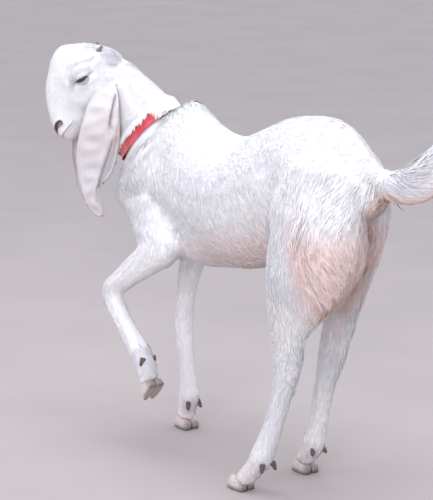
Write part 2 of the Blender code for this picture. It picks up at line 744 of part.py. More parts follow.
def main():
    clear_scene()
    goat = make_collection("goat")
    cutters = make_collection("cutters")
    coat = make_material("coat", (0.86, 0.84, 0.82), 0.85)
    inner_ear = make_material("ear_skin", (0.83, 0.77, 0.76), 0.8)
    eyeball = make_material("eye", (0.05, 0.035, 0.03), 0.15)
    horn_matter = make_material("horn", (0.30, 0.28, 0.27), 0.6)
    claw_matter = make_material("claw", (0.25, 0.20, 0.18), 0.55)
    webbing = make_material("collar", (0.70, 0.09, 0.11), 0.8)

    flesh = make_flesh(goat)
    thin_out(flesh)
    whole = copy_object(flesh, "whole", cutters)
    pieces = part_flesh(flesh, goat, cutters)
    painted = [(piece, coat) for piece in pieces.values()]
    for side in (1.0, -1.0):
        eye = make_eye(side, goat)
        bpy.context.view_layer.update()
        sink_eye(pieces["head"], eye, cutters)
        painted.append((eye, eyeball))
        ear = make_ear(side, goat)
        horn = make_horn(side, goat)
        bpy.context.view_layer.update()
        carve(ear, pieces["head"], cutters)
        carve(horn, whole, cutters)
        painted.append((ear, inner_ear))
        painted.append((horn, horn_matter))
    bpy.data.objects.remove(whole, do_unlink=True)
    for name in FEET:
        leg = pieces[name]
        claws = make_claws(leg, goat, cutters)
        dewclaws = make_dewclaws(leg, goat)
        bpy.context.view_layer.update()
        for dewclaw in dewclaws:
            carve(dewclaw, leg, cutters)
        painted.extend((piece, claw_matter) for piece in claws + dewclaws)
    painted.append((make_collar(pieces["neck"], goat, cutters), webbing))
    for obj, material in painted:
        obj.data.materials.clear()
        obj.data.materials.append(material)
        shade_smooth(obj)
    stand_on_origin([obj for obj, _ in painted])


main()
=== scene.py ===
"""Skin, coat, eyes, hooves, horn buds and collar of a young lop-eared goat, laid over its frame."""

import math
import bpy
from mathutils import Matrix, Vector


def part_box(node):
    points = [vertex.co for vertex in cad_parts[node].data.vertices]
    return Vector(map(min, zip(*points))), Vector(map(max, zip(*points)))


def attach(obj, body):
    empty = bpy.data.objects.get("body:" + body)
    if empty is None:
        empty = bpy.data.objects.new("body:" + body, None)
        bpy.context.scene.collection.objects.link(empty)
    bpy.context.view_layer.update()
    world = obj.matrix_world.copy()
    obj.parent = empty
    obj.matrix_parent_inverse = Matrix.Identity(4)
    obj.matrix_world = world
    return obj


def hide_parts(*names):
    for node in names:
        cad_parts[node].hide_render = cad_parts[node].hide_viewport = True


bl_info = {
    "name": "Goat Dresser",
    "version": (1, 0, 0),
    "blender": (4, 5, 0),
    "location": "3D View > Sidebar > Goat",
    "description": "Builds the skin, coat, eyes, hooves, horn buds and collar of a young goat",
    "category": "Object",
}

import bmesh
import bpy
import numpy as np
from mathutils import Matrix, Vector
from mathutils.bvhtree import BVHTree

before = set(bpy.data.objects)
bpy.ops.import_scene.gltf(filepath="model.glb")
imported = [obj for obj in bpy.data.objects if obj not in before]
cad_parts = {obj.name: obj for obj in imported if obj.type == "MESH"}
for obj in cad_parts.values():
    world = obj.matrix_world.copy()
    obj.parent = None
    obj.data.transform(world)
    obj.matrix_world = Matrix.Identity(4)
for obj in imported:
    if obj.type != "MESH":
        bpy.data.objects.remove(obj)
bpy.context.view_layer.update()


# ---------------------------------------------------------------- body and head frames

UP = Vector((0.0, 0.0, 1.0))
FORWARD = Vector((0.0, -1.0, 0.0))
LEFT = Vector((1.0, 0.0, 0.0))

# The right forefoot's outer claw, forward and left of the point on the floor under the withers
NEAR_SOLE = "claw_outer_foreleg_right"
NEAR_SOLE_FORWARD = 0.071
NEAR_SOLE_LEFT = -0.06499

POLL = (0.165, 0.079, 0.815)
HEAD_TURN = math.radians(61.5)
HEAD_DROP = math.radians(63.0)
COLLAR_AXIS = (0.66, 0.30, 0.69)

REGIONS = (
    "trunk", "neck", "head", "tail", "foreleg_left", "foreleg_right",
    "hindleg_left", "hindleg_right", "ear_left", "ear_right",
)
FLESH = REGIONS[:8]
EYES = ("eye_left", "eye_right")
LEGS = REGIONS[4:8]


def middle(node):
    low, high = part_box(node)
    return 0.5 * (low + high)


def withers():
    sole = middle(NEAR_SOLE)
    return Vector((sole.x - NEAR_SOLE_LEFT, sole.y + NEAR_SOLE_FORWARD, 0.0))


WITHERS = withers()


def at(forward, left, up):
    """Point given forward and left of the withers and up from the floor."""
    return WITHERS + FORWARD * forward + LEFT * left + UP * up


def along(forward, left, up):
    return FORWARD * forward + LEFT * left + UP * up


def head_axes():
    """Rows: along the nose, out of the brow, to the left of the head."""
    facing = FORWARD * math.cos(HEAD_TURN) + LEFT * math.sin(HEAD_TURN)
    nose = facing * math.cos(HEAD_DROP) - UP * math.sin(HEAD_DROP)
    brow = facing * math.sin(HEAD_DROP) + UP * math.cos(HEAD_DROP)
    return np.array((nose, brow, brow.cross(nose)))


HEAD = head_axes()
HEAD_ORIGIN = np.array(at(*POLL))


def in_head(nose, brow, left):
    """World point given in the head's own frame."""
    return HEAD_ORIGIN + np.array((nose, brow, left)) @ HEAD


def head_turned(nose, brow, left):
    return np.array((nose, brow, left)) @ HEAD


def to_head(points):
    return (points - HEAD_ORIGIN) @ HEAD.T


def to_body(points):
    """Forward, left and up of each point."""
    local = points - np.array(WITHERS)
    return np.stack((-local[:, 1], local[:, 0], local[:, 2]), axis=1)


# ---------------------------------------------------------------- what a user may change

class GoatSkinSettings(bpy.types.PropertyGroup):
    """Sizes and colours of the skin."""

    voxel: bpy.props.FloatProperty(
        name="Voxel", description="Edge of the cells the skin is rebuilt from",
        default=0.004, min=0.002, unit="LENGTH")
    relax_rounds: bpy.props.IntProperty(
        name="Relax rounds", description="How often the rebuilt skin is smoothed",
        default=9, min=0)
    ear_thickness: bpy.props.FloatProperty(
        name="Ear thickness", description="Thickness of the ear's leather",
        default=0.0038, unit="LENGTH")
    flesh_colour: bpy.props.FloatVectorProperty(
        name="Flesh", description="Colour of thinly haired skin",
        default=(0.78, 0.56, 0.52), subtype="COLOR", min=0.0, max=1.0)
    # Also the colour of the painted shade on the skin: nostrils, mouth crease, eye sockets, hollows and
    # creases, under the tail and over the ears
    rim_and_shade_colour: bpy.props.FloatVectorProperty(
        name="Nostril", description="Colour inside the nostrils and along the lid rims",
        default=(0.085, 0.052, 0.045), subtype="COLOR", min=0.0, max=1.0)


class GoatCoatSettings(bpy.types.PropertyGroup):
    """Sizes, numbers and colours of the hair."""

    body_length: bpy.props.FloatProperty(
        name="Body hair", description="Length of the short hair on the body",
        default=0.016, unit="LENGTH")
    body_width: bpy.props.FloatProperty(
        name="Tuft width", description="Width of a short tuft at its root",
        default=0.0016, unit="LENGTH")
    lift: bpy.props.FloatProperty(
        name="Lift", description="How far a short tuft rises from the skin, as a share of its length",
        default=0.15, min=0.0, max=1.0)
    tufts: bpy.props.IntProperty(
        name="Tufts", description="Number of short tufts on the whole animal",
        default=84000, min=1000)
    britch_length: bpy.props.FloatProperty(
        name="Britches", description="Length of the locks on the backs of the thighs",
        default=0.050, unit="LENGTH")
    tail_length: bpy.props.FloatProperty(
        name="Tail hair", description="Length of the locks on the tail",
        default=0.062, unit="LENGTH")
    white: bpy.props.FloatVectorProperty(
        name="White", description="Colour of clean hair",
        default=(0.865, 0.850, 0.842), subtype="COLOR", min=0.0, max=1.0)
    cool_white: bpy.props.FloatVectorProperty(
        name="Cool white", description="Colour of the cooler patches of clean hair",
        default=(0.800, 0.795, 0.830), subtype="COLOR", min=0.0, max=1.0)
    rosy: bpy.props.FloatVectorProperty(
        name="Rosy", description="Colour of hair that the skin shows through",
        default=(0.860, 0.590, 0.530), subtype="COLOR", min=0.0, max=1.0)
    tan: bpy.props.FloatVectorProperty(
        name="Stain", description="Colour of soiled hair between the thighs and under the belly",
        default=(0.560, 0.340, 0.190), subtype="COLOR", min=0.0, max=1.0)


class GoatPartSettings(bpy.types.PropertyGroup):
    """Sizes and colours of the eyes, hooves, horn buds and collar."""

    eye_radius: bpy.props.FloatProperty(
        name="Eye radius", description="Radius of an eyeball", default=0.0140, unit="LENGTH")
    iris_colour: bpy.props.FloatVectorProperty(
        name="Iris", description="Colour of the iris",
        default=(0.14, 0.080, 0.040), subtype="COLOR", min=0.0, max=1.0)
    hoof_colour: bpy.props.FloatVectorProperty(
        name="Hoof wall", description="Colour of the wall of a claw",
        default=(0.80, 0.69, 0.64), subtype="COLOR", min=0.0, max=1.0)
    heel_colour: bpy.props.FloatVectorProperty(
        name="Heel", description="Colour of the heel and of the dewclaws",
        default=(0.075, 0.058, 0.052), subtype="COLOR", min=0.0, max=1.0)
    horn_colour: bpy.props.FloatVectorProperty(
        name="Horn", description="Colour of the horn buds",
        default=(0.150, 0.135, 0.135), subtype="COLOR", min=0.0, max=1.0)
    collar_colour: bpy.props.FloatVectorProperty(
        name="Collar", description="Colour of the collar's webbing",
        default=(0.72, 0.045, 0.070), subtype="COLOR", min=0.0, max=1.0)
    collar_thickness: bpy.props.FloatProperty(
        name="Collar thickness", description="Thickness of the webbing", default=0.0022, unit="LENGTH")


class GoatStageSettings(bpy.types.PropertyGroup):
    """Camera, lights and floor."""

    camera_place: bpy.props.FloatVectorProperty(
        name="Camera", description="Camera's place: forward, left and up of the withers' floor point",
        default=(-3.0752, 2.3655, 1.2579), subtype="TRANSLATION", unit="LENGTH")
    camera_heading: bpy.props.FloatProperty(
        name="Heading", description="Turn of the view from straight forward to the right",
        default=math.radians(38.52), subtype="ANGLE")
    camera_tilt: bpy.props.FloatProperty(
        name="Tilt", description="How far the view looks down",
        default=math.radians(12.373), subtype="ANGLE")
    lens: bpy.props.FloatProperty(
        name="Lens", description="Focal length in millimetres for a 36 mm sensor",
        default=139.64)
    floor_colour: bpy.props.FloatVectorProperty(
        name="Floor", description="Colour of the floor",
        default=(0.45, 0.41, 0.395), subtype="COLOR", min=0.0, max=1.0)
    sky_colour: bpy.props.FloatVectorProperty(
        name="Surroundings", description="Colour of the light from all round",
        default=(0.85, 0.86, 0.96), subtype="COLOR", min=0.0, max=1.0)
    sky_strength: bpy.props.FloatProperty(
        name="Surroundings' strength", description="Strength of the light from all round",
        default=1.15)
    key_power: bpy.props.FloatProperty(
        name="Overhead light", description="Power of the large light overhead, in watts",
        default=44.0)
    fill_power: bpy.props.FloatProperty(
        name="Side light", description="Power of the light beside the camera, in watts",
        default=68.0)


# ---------------------------------------------------------------- meshes as arrays

def places(mesh):
    flat = np.empty(len(mesh.vertices) * 3, np.float32)
    mesh.vertices.foreach_get("co", flat)
    return flat.reshape(-1, 3).astype(np.float64)


def put_places(mesh, points):
    mesh.vertices.foreach_set("co", points.astype(np.float32).ravel())
    mesh.update()


def normals_of(mesh):
    flat = np.empty(len(mesh.vertices) * 3, np.float32)
    mesh.vertex_normals.foreach_get("vector", flat)
    return flat.reshape(-1, 3).astype(np.float64)


def edges_of(mesh):
    flat = np.empty(len(mesh.edges) * 2, np.int32)
    mesh.edges.foreach_get("vertices", flat)
    return flat.reshape(-1, 2)


def triangles_of(mesh):
    mesh.calc_loop_triangles()
    flat = np.empty(len(mesh.loop_triangles) * 3, np.int32)
    mesh.loop_triangles.foreach_get("vertices", flat)
    return flat.reshape(-1, 3)


def unit(vectors):
    length = np.linalg.norm(vectors, axis=-1, keepdims=True)
    return vectors / np.maximum(length, 1e-12)


def flat_on(vectors, normals):
    """Vectors laid into the planes across the normals, at unit length."""
    return unit(vectors - normals * np.sum(vectors * normals, axis=-1, keepdims=True))


def spread(values, edges, rounds, share=0.5):
    """Values at the vertices, each moved toward its neighbours' mean again and again."""
    values = np.array(values, float)
    count = len(values)
    ends = np.concatenate((edges[:, 0], edges[:, 1]))
    others = np.concatenate((edges[:, 1], edges[:, 0]))
    degree = np.maximum(np.bincount(ends, minlength=count), 1)
    columns = values.reshape(count, -1)
    for _ in range(rounds):
        for axis in range(columns.shape[1]):
            mean = np.bincount(ends, weights=columns[others, axis], minlength=count) / degree
            columns[:, axis] += share * (mean - columns[:, axis])
    return columns.reshape(values.shape)


def smooth_step(low, high, values):
    share = np.clip((values - low) / (high - low), 0.0, 1.0)
    return share * share * (3.0 - 2.0 * share)


def bump(points, centre, radius):
    """One at the centre, falling smoothly to nothing at the radius."""
    away = np.linalg.norm(points - np.array(centre), axis=1) / radius
    return np.clip(1.0 - away * away, 0.0, 1.0) ** 2


def distance_to_path(points, path):
    """Least distance from each point to a chain of straight pieces."""
    path = np.array(path, float)
    least = np.full(len(points), np.inf)
    for start, end in zip(path, path[1:]):
        run = end - start
        share = np.clip((points - start) @ run / (run @ run), 0.0, 1.0)
        gap = np.linalg.norm(points - start - share[:, None] * run, axis=1)
        least = np.minimum(least, gap)
    return least


def add_attribute(mesh, name, values):
    kind = "FLOAT_VECTOR" if values.ndim == 2 else "FLOAT"
    field = "vector" if values.ndim == 2 else "value"
    made = mesh.attributes.new(name, kind, "POINT")
    made.data.foreach_set(field, values.astype(np.float32).ravel())


def read_attribute(mesh, name, width):
    flat = np.empty(len(mesh.vertices) * width, np.float32)
    mesh.attributes[name].data.foreach_get("vector" if width == 3 else "value", flat)
    return flat.reshape(-1, width).astype(np.float64) if width > 1 else flat.astype(np.float64)


def new_object(name, mesh):
    made = bpy.data.objects.new(name, mesh)
    bpy.context.scene.collection.objects.link(made)
    return made


def applied(made):
    """The object with its modifiers made part of its mesh."""
    bpy.context.view_layer.update()
    graph = bpy.context.evaluated_depsgraph_get()
    mesh = bpy.data.meshes.new_from_object(made.evaluated_get(graph))
    old = made.data
    made.modifiers.clear()
    made.data = mesh
    bpy.data.meshes.remove(old)
    return made


def rebuilt(made, voxel):
    remesh = made.modifiers.new("rebuild", "REMESH")
    remesh.mode = "VOXEL"
    remesh.voxel_size = voxel
    return applied(made)


def mesh_of_triangles(name, points, corners):
    mesh = bpy.data.meshes.new(name)
    mesh.vertices.add(len(points))
    mesh.vertices.foreach_set("co", points.astype(np.float32).ravel())
    mesh.loops.add(corners.size)
    mesh.loops.foreach_set("vertex_index", corners.astype(np.int32).ravel())
    mesh.polygons.add(len(corners))
    mesh.polygons.foreach_set("loop_start", np.arange(0, corners.size, 3, dtype=np.int32))
    mesh.polygons.foreach_set("use_smooth", np.ones(len(corners), bool))
    mesh.update(calc_edges=True)
    return mesh


def node_shape(node, swell=0.0):
    """The CAD node's closed surface as a bmesh, grown along its normals."""
    shape = bmesh.new()
    shape.from_mesh(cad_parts[node].data)
    bmesh.ops.remove_doubles(shape, verts=shape.verts, dist=1e-5)
    if swell:
        shape.normal_update()
        for vertex in shape.verts:
            vertex.co += vertex.normal * swell
    return shape


def nodes_as_one(name, nodes, swell):
    mesh = bpy.data.meshes.new(name)
    whole = bmesh.new()
    for node in nodes:
        shape = node_shape(node, swell)
        shape.to_mesh(mesh)
        shape.free()
        whole.from_mesh(mesh)
    whole.to_mesh(mesh)
    whole.free()
    return mesh


# ---------------------------------------------------------------- which part of the body a point is on

def region_finder():
    """Tree of all the flesh, ears and eyes, and the region of each of its faces."""
    points, faces, owners = [], [], []
    head = REGIONS.index("head")
    for number, node in [*enumerate(REGIONS), (head, EYES[0]), (head, EYES[1])]:
        shape = node_shape(node)
        shape.verts.index_update()
        start = len(points)
        points.extend(vertex.co.copy() for vertex in shape.verts)
        for face in shape.faces:
            faces.append([start + vertex.index for vertex in face.verts])
            owners.append(number)
        shape.free()
    return BVHTree.FromPolygons(points, faces), np.array(owners)


def place_on_frame(points):
    """For each point its region and its depth under the frame's surface."""
    tree, owners = region_finder()
    regions = np.zeros(len(points), int)
    depths = np.zeros(len(points))
    for index, point in enumerate(points):
        spot, normal, face, distance = tree.find_nearest(Vector(point))
        regions[index] = owners[face]
        inside = (Vector(point) - spot).dot(normal) < 0.0
        depths[index] = distance if inside else -distance
    return regions, depths


# ---------------------------------------------------------------- lie of the hair

# Arrows that the hair follows: forward, left, up of the place, then the direction; each has a mirror twin,
# except on the neck
TRUNK_ARROWS = (
    (0.000, 0.000, 0.720, -1.0, 0.0, -0.05),
    (-0.200, 0.000, 0.670, -1.0, 0.0, 0.0),
    (-0.450, 0.000, 0.735, -1.0, 0.0, -0.30),
    (-0.520, 0.030, 0.705, -0.6, 0.1, -0.70),
    (-0.555, 0.048, 0.635, 0.40, 0.40, -0.80),
    (0.000, 0.085, 0.600, -0.5, 0.0, -0.85),
    (0.060, 0.070, 0.500, -0.3, 0.0, -0.95),
    (-0.150, 0.112, 0.560, -0.80, 0.0, -0.60),
    (-0.300, 0.100, 0.560, -0.75, 0.0, -0.65),
    (-0.150, 0.090, 0.440, -0.85, 0.0, -0.45),
    (-0.150, 0.000, 0.390, -1.0, 0.0, -0.10),
    (0.145, 0.000, 0.500, -0.1, 0.0, -1.0),
    (0.060, 0.000, 0.400, -0.9, 0.0, -0.40),
)
TAIL_ARROWS = (
    (-0.590, 0.000, 0.660, -1.0, 0.0, 0.05),
    (-0.620, 0.025, 0.640, -0.9, 0.25, -0.25),
    (-0.640, 0.000, 0.600, -0.8, 0.0, -0.45),
    (-0.700, 0.000, 0.700, -0.75, 0.0, 0.60),
    (-0.700, 0.000, 0.630, -0.95, 0.0, 0.05),
    (-0.750, 0.000, 0.740, -0.6, 0.0, 0.80),
)
THIGH_ARROWS = (
    (-0.440, 0.090, 0.640, -0.55, 0.1, -0.80),
    (-0.400, 0.100, 0.540, -0.25, 0.0, -0.97),
    (-0.560, 0.060, 0.620, 0.55, 0.35, -0.75),
    (-0.545, 0.080, 0.580, 0.50, 0.20, -0.80),
    (-0.500, 0.112, 0.560, 0.10, 0.10, -1.0),
    (-0.535, 0.080, 0.520, -0.75, -0.1, -0.60),
    (-0.510, 0.085, 0.460, -0.65, -0.1, -0.75),
    (-0.470, 0.100, 0.430, -0.35, 0.0, -0.93),
    (-0.460, 0.095, 0.360, -0.45, 0.0, -0.90),
    (-0.550, 0.015, 0.540, -0.45, 0.0, -0.90),
    (-0.430, 0.010, 0.440, -0.2, 0.0, -1.0),
)
NECK_ARROWS = (
    (0.100, 0.036, 0.750, -0.72, -0.3, -0.50),
    (0.060, 0.080, 0.680, -0.50, -0.1, -0.85),
    (0.120, 0.000, 0.680, -0.50, -0.2, -0.85),
    (0.120, 0.050, 0.620, -0.45, -0.2, -0.87),
)
# The same in the head's frame: along the nose, out of the brow, left
HEAD_ARROWS = (
    (0.200, 0.000, 0.000, -0.6, 0.6, 0.0),
    (0.150, 0.060, 0.000, -1.0, 0.2, 0.0),
    (0.060, 0.082, 0.000, -1.0, 0.0, 0.0),
    (0.010, 0.030, 0.000, -0.4, -0.9, 0.0),
    (0.120, 0.000, 0.040, -0.9, -0.3, 0.0),
    (0.060, -0.030, 0.045, -0.7, -0.7, 0.0),
    (0.100, -0.060, 0.000, -1.0, -0.1, 0.0),
)
LIMBS = {
    "foreleg_right": (
        (0.050, -0.072, 0.500), (0.052, -0.071, 0.400), (0.073, -0.056, 0.268), (0.070, -0.055, 0.180),
        (0.060, -0.055, 0.072), (0.074, -0.055, 0.018),
    ),
    "foreleg_left": (
        (0.048, 0.076, 0.508), (-0.062, 0.098, 0.442), (0.062, 0.139, 0.333), (0.015, 0.137, 0.262),
        (-0.041, 0.133, 0.197), (-0.047, 0.131, 0.150),
    ),
    "hindleg_right": (
        (-0.410, -0.080, 0.400), (-0.384, -0.064, 0.268), (-0.372, -0.061, 0.215), (-0.334, -0.062, 0.070),
        (-0.302, -0.064, 0.018),
    ),
    "hindleg_left": (
        (-0.440, 0.097, 0.400), (-0.431, 0.092, 0.284), (-0.420, 0.091, 0.232), (-0.366, 0.097, 0.082),
        (-0.314, 0.101, 0.018),
    ),
}


def arrows_of(region):
    """Places and directions of the arrows for one region, in the world."""
    tails, heads = [], []

    def add(place, direction):
        tails.append(place)
        heads.append(direction)

    if region in ("trunk", "tail", "neck"):
        rows = {"trunk": TRUNK_ARROWS, "tail": TAIL_ARROWS, "neck": NECK_ARROWS}[region]
        for f, l, u, df, dl, du in rows:
            for side in ((1.0,) if region == "neck" else (1.0, -1.0)):
                add(at(f, side * l, u), along(df, side * dl, du))
    elif region == "head":
        for n, b, l, dn, db, dl in HEAD_ARROWS:
            for side in (1.0, -1.0):
                add(in_head(n, b, side * l), head_turned(dn, db, side * dl))
    elif region.startswith("ear"):
        add(middle(region), -UP)
    else:
        joints = [at(*joint) for joint in LIMBS[region]]
        for upper, lower in zip(joints, joints[1:]):
            for share in (0.15, 0.5, 0.85):
                add(upper.lerp(lower, share), (lower - upper).normalized())
        if region.startswith("hindleg"):
            side = 1.0 if region.endswith("left") else -1.0
            for f, l, u, df, dl, du in THIGH_ARROWS:
                add(at(f, side * l, u), along(df, side * dl, du))
    return np.array(tails, float), unit(np.array(heads, float))


def lie_of_hair(points, normals, regions, edges):
    """Direction of the hair at each point, flat on the skin."""
    lie = np.zeros_like(points)
    for number, region in enumerate(REGIONS):
        chosen = regions == number
        if not chosen.any():
            continue
        tails, heads = arrows_of(region)
        away = np.linalg.norm(points[chosen][:, None, :] - tails[None], axis=2)
        weight = 1.0 / (away + 0.01) ** 4
        lie[chosen] = unit((weight[:, :, None] * heads[None]).sum(axis=1))
    return flat_on(spread(flat_on(lie, normals), edges, 14), normals)


# ---------------------------------------------------------------- markings and painted shade, shared by skin and hair

# Soiled creases between the thighs, and the patch under the tail, which is stained and also darkened with
# painted shade: forward, left, up
NEAR_CREASE = ((-0.566, 0.030, 0.480), (-0.548, 0.049, 0.437), (-0.536, 0.069, 0.416), (-0.519, 0.075, 0.388))
FAR_CREASE = ((-0.503, -0.055, 0.468), (-0.486, -0.038, 0.437), (-0.470, -0.030, 0.405))
UNDER_TAIL = ((-0.590, 0.000, 0.600), (-0.560, 0.000, 0.550), (-0.528, -0.021, 0.535))


def marks_and_painted_shade(points, normals, regions):
    """Shares of rosy, stained and dark colour at each point; the dark share holds the lid rims and painted
    shade.
    """
    body = to_body(points)
    head = to_head(points)
    forward, left, up = body.T
    side = np.abs(left)
    level = smooth_step(0.590, 0.525, up) * smooth_step(0.290, 0.375, up)
    rear = smooth_step(-0.450, -0.500, forward + 0.25 * (0.50 - up))
    rosy = 0.95 * rear * level
    inner = smooth_step(0.075, 0.030, side) * smooth_step(-0.36, -0.44, forward)
    rosy = np.maximum(rosy, 0.90 * inner * smooth_step(0.610, 0.540, up) * smooth_step(0.24, 0.36, up))
    below = smooth_step(0.0, -0.7, normals[:, 2])
    belly = below * smooth_step(-0.06, -0.20, forward) * (up > 0.36)
    rosy = np.maximum(rosy, 0.62 * belly)
    ears = np.isin(regions, (8, 9))
    rosy += ears * (0.13 + 0.08 * np.sin(46.0 * up + 30.0 * forward))
    muzzle = smooth_step(0.165, 0.205, head[:, 0]) * (regions == 2)
    rosy += 0.40 * muzzle
    # Painted pinkish shade on the downward faces of the tail near its root
    rosy += 0.50 * (regions == 3) * below * smooth_step(-0.70, -0.60, forward)
    feet = np.isin(regions, (4, 5, 6, 7)) * smooth_step(0.09, 0.02, up)
    rosy += 0.35 * feet
    near = distance_to_path(body, NEAR_CREASE)
    far = distance_to_path(body, FAR_CREASE)
    stain = 0.95 * smooth_step(0.016, 0.003, near) + 0.45 * smooth_step(0.050, 0.010, far)
    stain += 0.25 * belly * smooth_step(-0.16, -0.26, forward) * smooth_step(0.06, 0.02, side)
    under_tail = smooth_step(0.034, 0.008, distance_to_path(body, UNDER_TAIL))
    stain += 0.40 * under_tail
    # Painted shade: darker under the tail, and over the whole of both ears
    rims_and_painted_shade = 0.45 * under_tail + 0.26 * ears
    for wing in (1.0, -1.0):
        # Painted shade in each nostril's opening, and a blob of painted shadow below its arc
        gap = distance_to_path(head, [(n, b, wing * l) for n, b, l in NOSTRIL])
        rims_and_painted_shade = np.maximum(rims_and_painted_shade, smooth_step(0.0084, 0.0050, gap))
        gap = np.linalg.norm(head - (0.191, 0.0125, wing * 0.0165), axis=1)
        rims_and_painted_shade = np.maximum(rims_and_painted_shade, 0.8 * smooth_step(0.0070, 0.0040, gap))
        # Painted shade along the crease of the mouth
        gap = distance_to_path(head, [(n, b, wing * l) for n, b, l in MOUTH])
        rims_and_painted_shade = np.maximum(rims_and_painted_shade, 0.65 * smooth_step(0.0034, 0.0012, gap))
        # Dark lid rims, and a wider ring of painted shade in the socket around each eye
        from_lid, _ = lid_angles(points, wing)
        rims_and_painted_shade = np.maximum(rims_and_painted_shade, smooth_step(9.0, 3.0, from_lid) * (from_lid < 90.0))
        rims_and_painted_shade = np.maximum(rims_and_painted_shade, 0.42 * smooth_step(30.0, 8.0, from_lid) * (from_lid < 90.0))
    return np.clip(rosy, 0.0, 1.0), np.clip(stain, 0.0, 1.0), np.clip(rims_and_painted_shade, 0.0, 1.0)


# ---------------------------------------------------------------- sculpted details

# In the head's frame: along the nose, out of the brow, left
EYE = (0.0755, 0.0175, 0.0355)
EYE_LOOK = (0.18, 0.16, 0.97)
LID_SLANT = math.radians(33.0)
LID_HALF_LENGTH = 57.0
LID_RISE = 15.0
LID_DROP = 10.0
NOSTRIL = (
    (0.200, 0.008, 0.0100), (0.196, 0.015, 0.0140), (0.190, 0.0185, 0.0185),
    (0.184, 0.0190, 0.0225), (0.179, 0.0170, 0.0250),
)
MOUTH = (
    (0.209, -0.006, 0.000), (0.206, -0.003, 0.013), (0.198, -0.001, 0.0235),
    (0.188, -0.002, 0.0268), (0.177, -0.0045, 0.028), (0.166, -0.0075, 0.0283),
)
BROW_FOLD = (
    (0.096, 0.044, 0.036), (0.089, 0.048, 0.0386), (0.078, 0.051, 0.043), (0.067, 0.046, 0.0466),
    (0.051, 0.036, 0.0467), (0.038, 0.018, 0.0464), (0.022, 0.0125, 0.042),
)


def eye_axes(side):
    """Rows: along the slit toward the nose, across it toward the brow, outward."""
    look = unit(head_turned(EYE_LOOK[0], EYE_LOOK[1], side * EYE_LOOK[2]))
    slit = head_turned(math.cos(LID_SLANT), math.sin(LID_SLANT), 0.0)
    slit = unit(slit - look * (slit @ look))
    across = np.cross(look, slit) if side > 0.0 else np.cross(slit, look)
    return np.array((slit, across, look))


def eye_centre(side):
    return in_head(EYE[0], EYE[1], side * EYE[2])


def lid_angles(points, side):
    """Degrees outside the opening of the lids, less than nothing inside it, and the distance to the eye."""
    local = (points - eye_centre(side)) @ eye_axes(side).T
    distance = np.maximum(np.linalg.norm(local, axis=1), 1e-9)
    along_slit = np.degrees(np.arctan2(local[:, 0], local[:, 2]))
    across_slit = np.degrees(np.arcsin(np.clip(local[:, 1] / distance, -1.0, 1.0)))
    room = 1.0 - (along_slit / LID_HALF_LENGTH) ** 2
    outside = np.maximum(across_slit - LID_RISE * room, -LID_DROP * room - across_slit)
    far = (local[:, 2] < 0.0) | (distance > 0.032)
    return np.where(far, 180.0, outside), distance


def sculpt_eyes(points, radius):
    for side in (1.0, -1.0):
        outside, distance = lid_angles(points, side)
        near = outside < 90.0
        rim = radius + 0.0019 - 0.0007 * smooth_step(4.0, 14.0, outside)
        rim += 0.0010 * np.exp(-((outside - 22.0) / 6.0) ** 2)
        share = smooth_step(12.0, 46.0, outside)
        wanted = rim * (1.0 - share) + np.maximum(distance, radius + 0.0012) * share
        wanted = np.where(outside < 0.0, radius - 0.003, wanted)
        factor = np.where(near, wanted / distance, 1.0)
        centre = eye_centre(side)
        points = centre + (points - centre) * factor[:, None]
    return points


def sculpt_face(points, normals):
    """Nostrils, mouth, cheeks, brows and the bridge of the nose."""
    head = to_head(points)
    on_head = (head[:, 0] > -0.02) & (np.linalg.norm(head - (0.1, 0.0, 0.0), axis=1) < 0.16)
    push = np.zeros(len(points))
    for wing in (1.0, -1.0):
        gap = distance_to_path(head, [(n, b, wing * l) for n, b, l in NOSTRIL])
        push -= 0.0055 * smooth_step(0.0044, 0.0012, gap)
        push += 0.0014 * np.exp(-((gap - 0.0064) / 0.0022) ** 2)
        gap = distance_to_path(head, [(n, b, wing * l) for n, b, l in MOUTH])
        push -= 0.0024 * smooth_step(0.0024, 0.0004, gap)
        push += 0.0009 * np.exp(-((gap - 0.0042) / 0.0018) ** 2)
        push += 0.0030 * bump(head, (0.098, 0.048, wing * 0.034), 0.030)
        push -= 0.0030 * bump(head, (0.110, 0.012, wing * 0.040), 0.026)
        push += 0.0022 * bump(head, (0.118, -0.012, wing * 0.038), 0.030)
        push -= 0.0026 * bump(head, (0.150, 0.004, wing * 0.030), 0.026)
        push += 0.0025 * bump(head, (0.062, 0.052, wing * 0.040), 0.022)
        gap = distance_to_path(head, [(n, b, wing * l) for n, b, l in BROW_FOLD])
        push -= 0.0018 * smooth_step(0.0065, 0.001, gap)
        push += 0.0009 * np.exp(-((gap - 0.0100) / 0.004) ** 2)
    groove = np.exp(-(head[:, 2] / 0.0022) ** 2)
    push -= 0.0014 * groove * smooth_step(0.196, 0.204, head[:, 0]) * (head[:, 1] > -0.010)
    return points + normals * (push * on_head)[:, None]


# Hollows and swellings of the body: forward, left, up, radius, height
FORMS = (
    (-0.345, 0.105, 0.640, 0.055, -0.0060),
    (-0.365, 0.098, 0.715, 0.040, 0.0040),
    (-0.512, 0.090, 0.610, 0.048, -0.0070),
    (-0.560, 0.060, 0.640, 0.035, 0.0040),
    (-0.395, 0.105, 0.520, 0.045, -0.0030),
    (0.040, 0.075, 0.625, 0.060, 0.0030),
    (0.034, 0.112, 0.490, 0.070, -0.0090),
    (0.012, 0.092, 0.562, 0.070, 0.0085),
    (-0.042, 0.098, 0.552, 0.060, 0.0050),
    (0.095, 0.050, 0.610, 0.040, -0.0045),
    (0.105, 0.060, 0.520, 0.035, 0.0040),
    (0.132, 0.088, 0.803, 0.034, 0.0050),
)
# Paths of skin folds and their depths
FOLDS = (
    (((0.060, 0.082, 0.560), (0.010, 0.082, 0.640)), 0.0012),
    (((-0.100, 0.095, 0.475), (-0.085, 0.100, 0.435), (-0.070, 0.090, 0.410)), 0.0030),
    (((-0.484, 0.004, 0.722), (-0.514, 0.009, 0.704), (-0.538, 0.010, 0.683)), 0.0022),
)


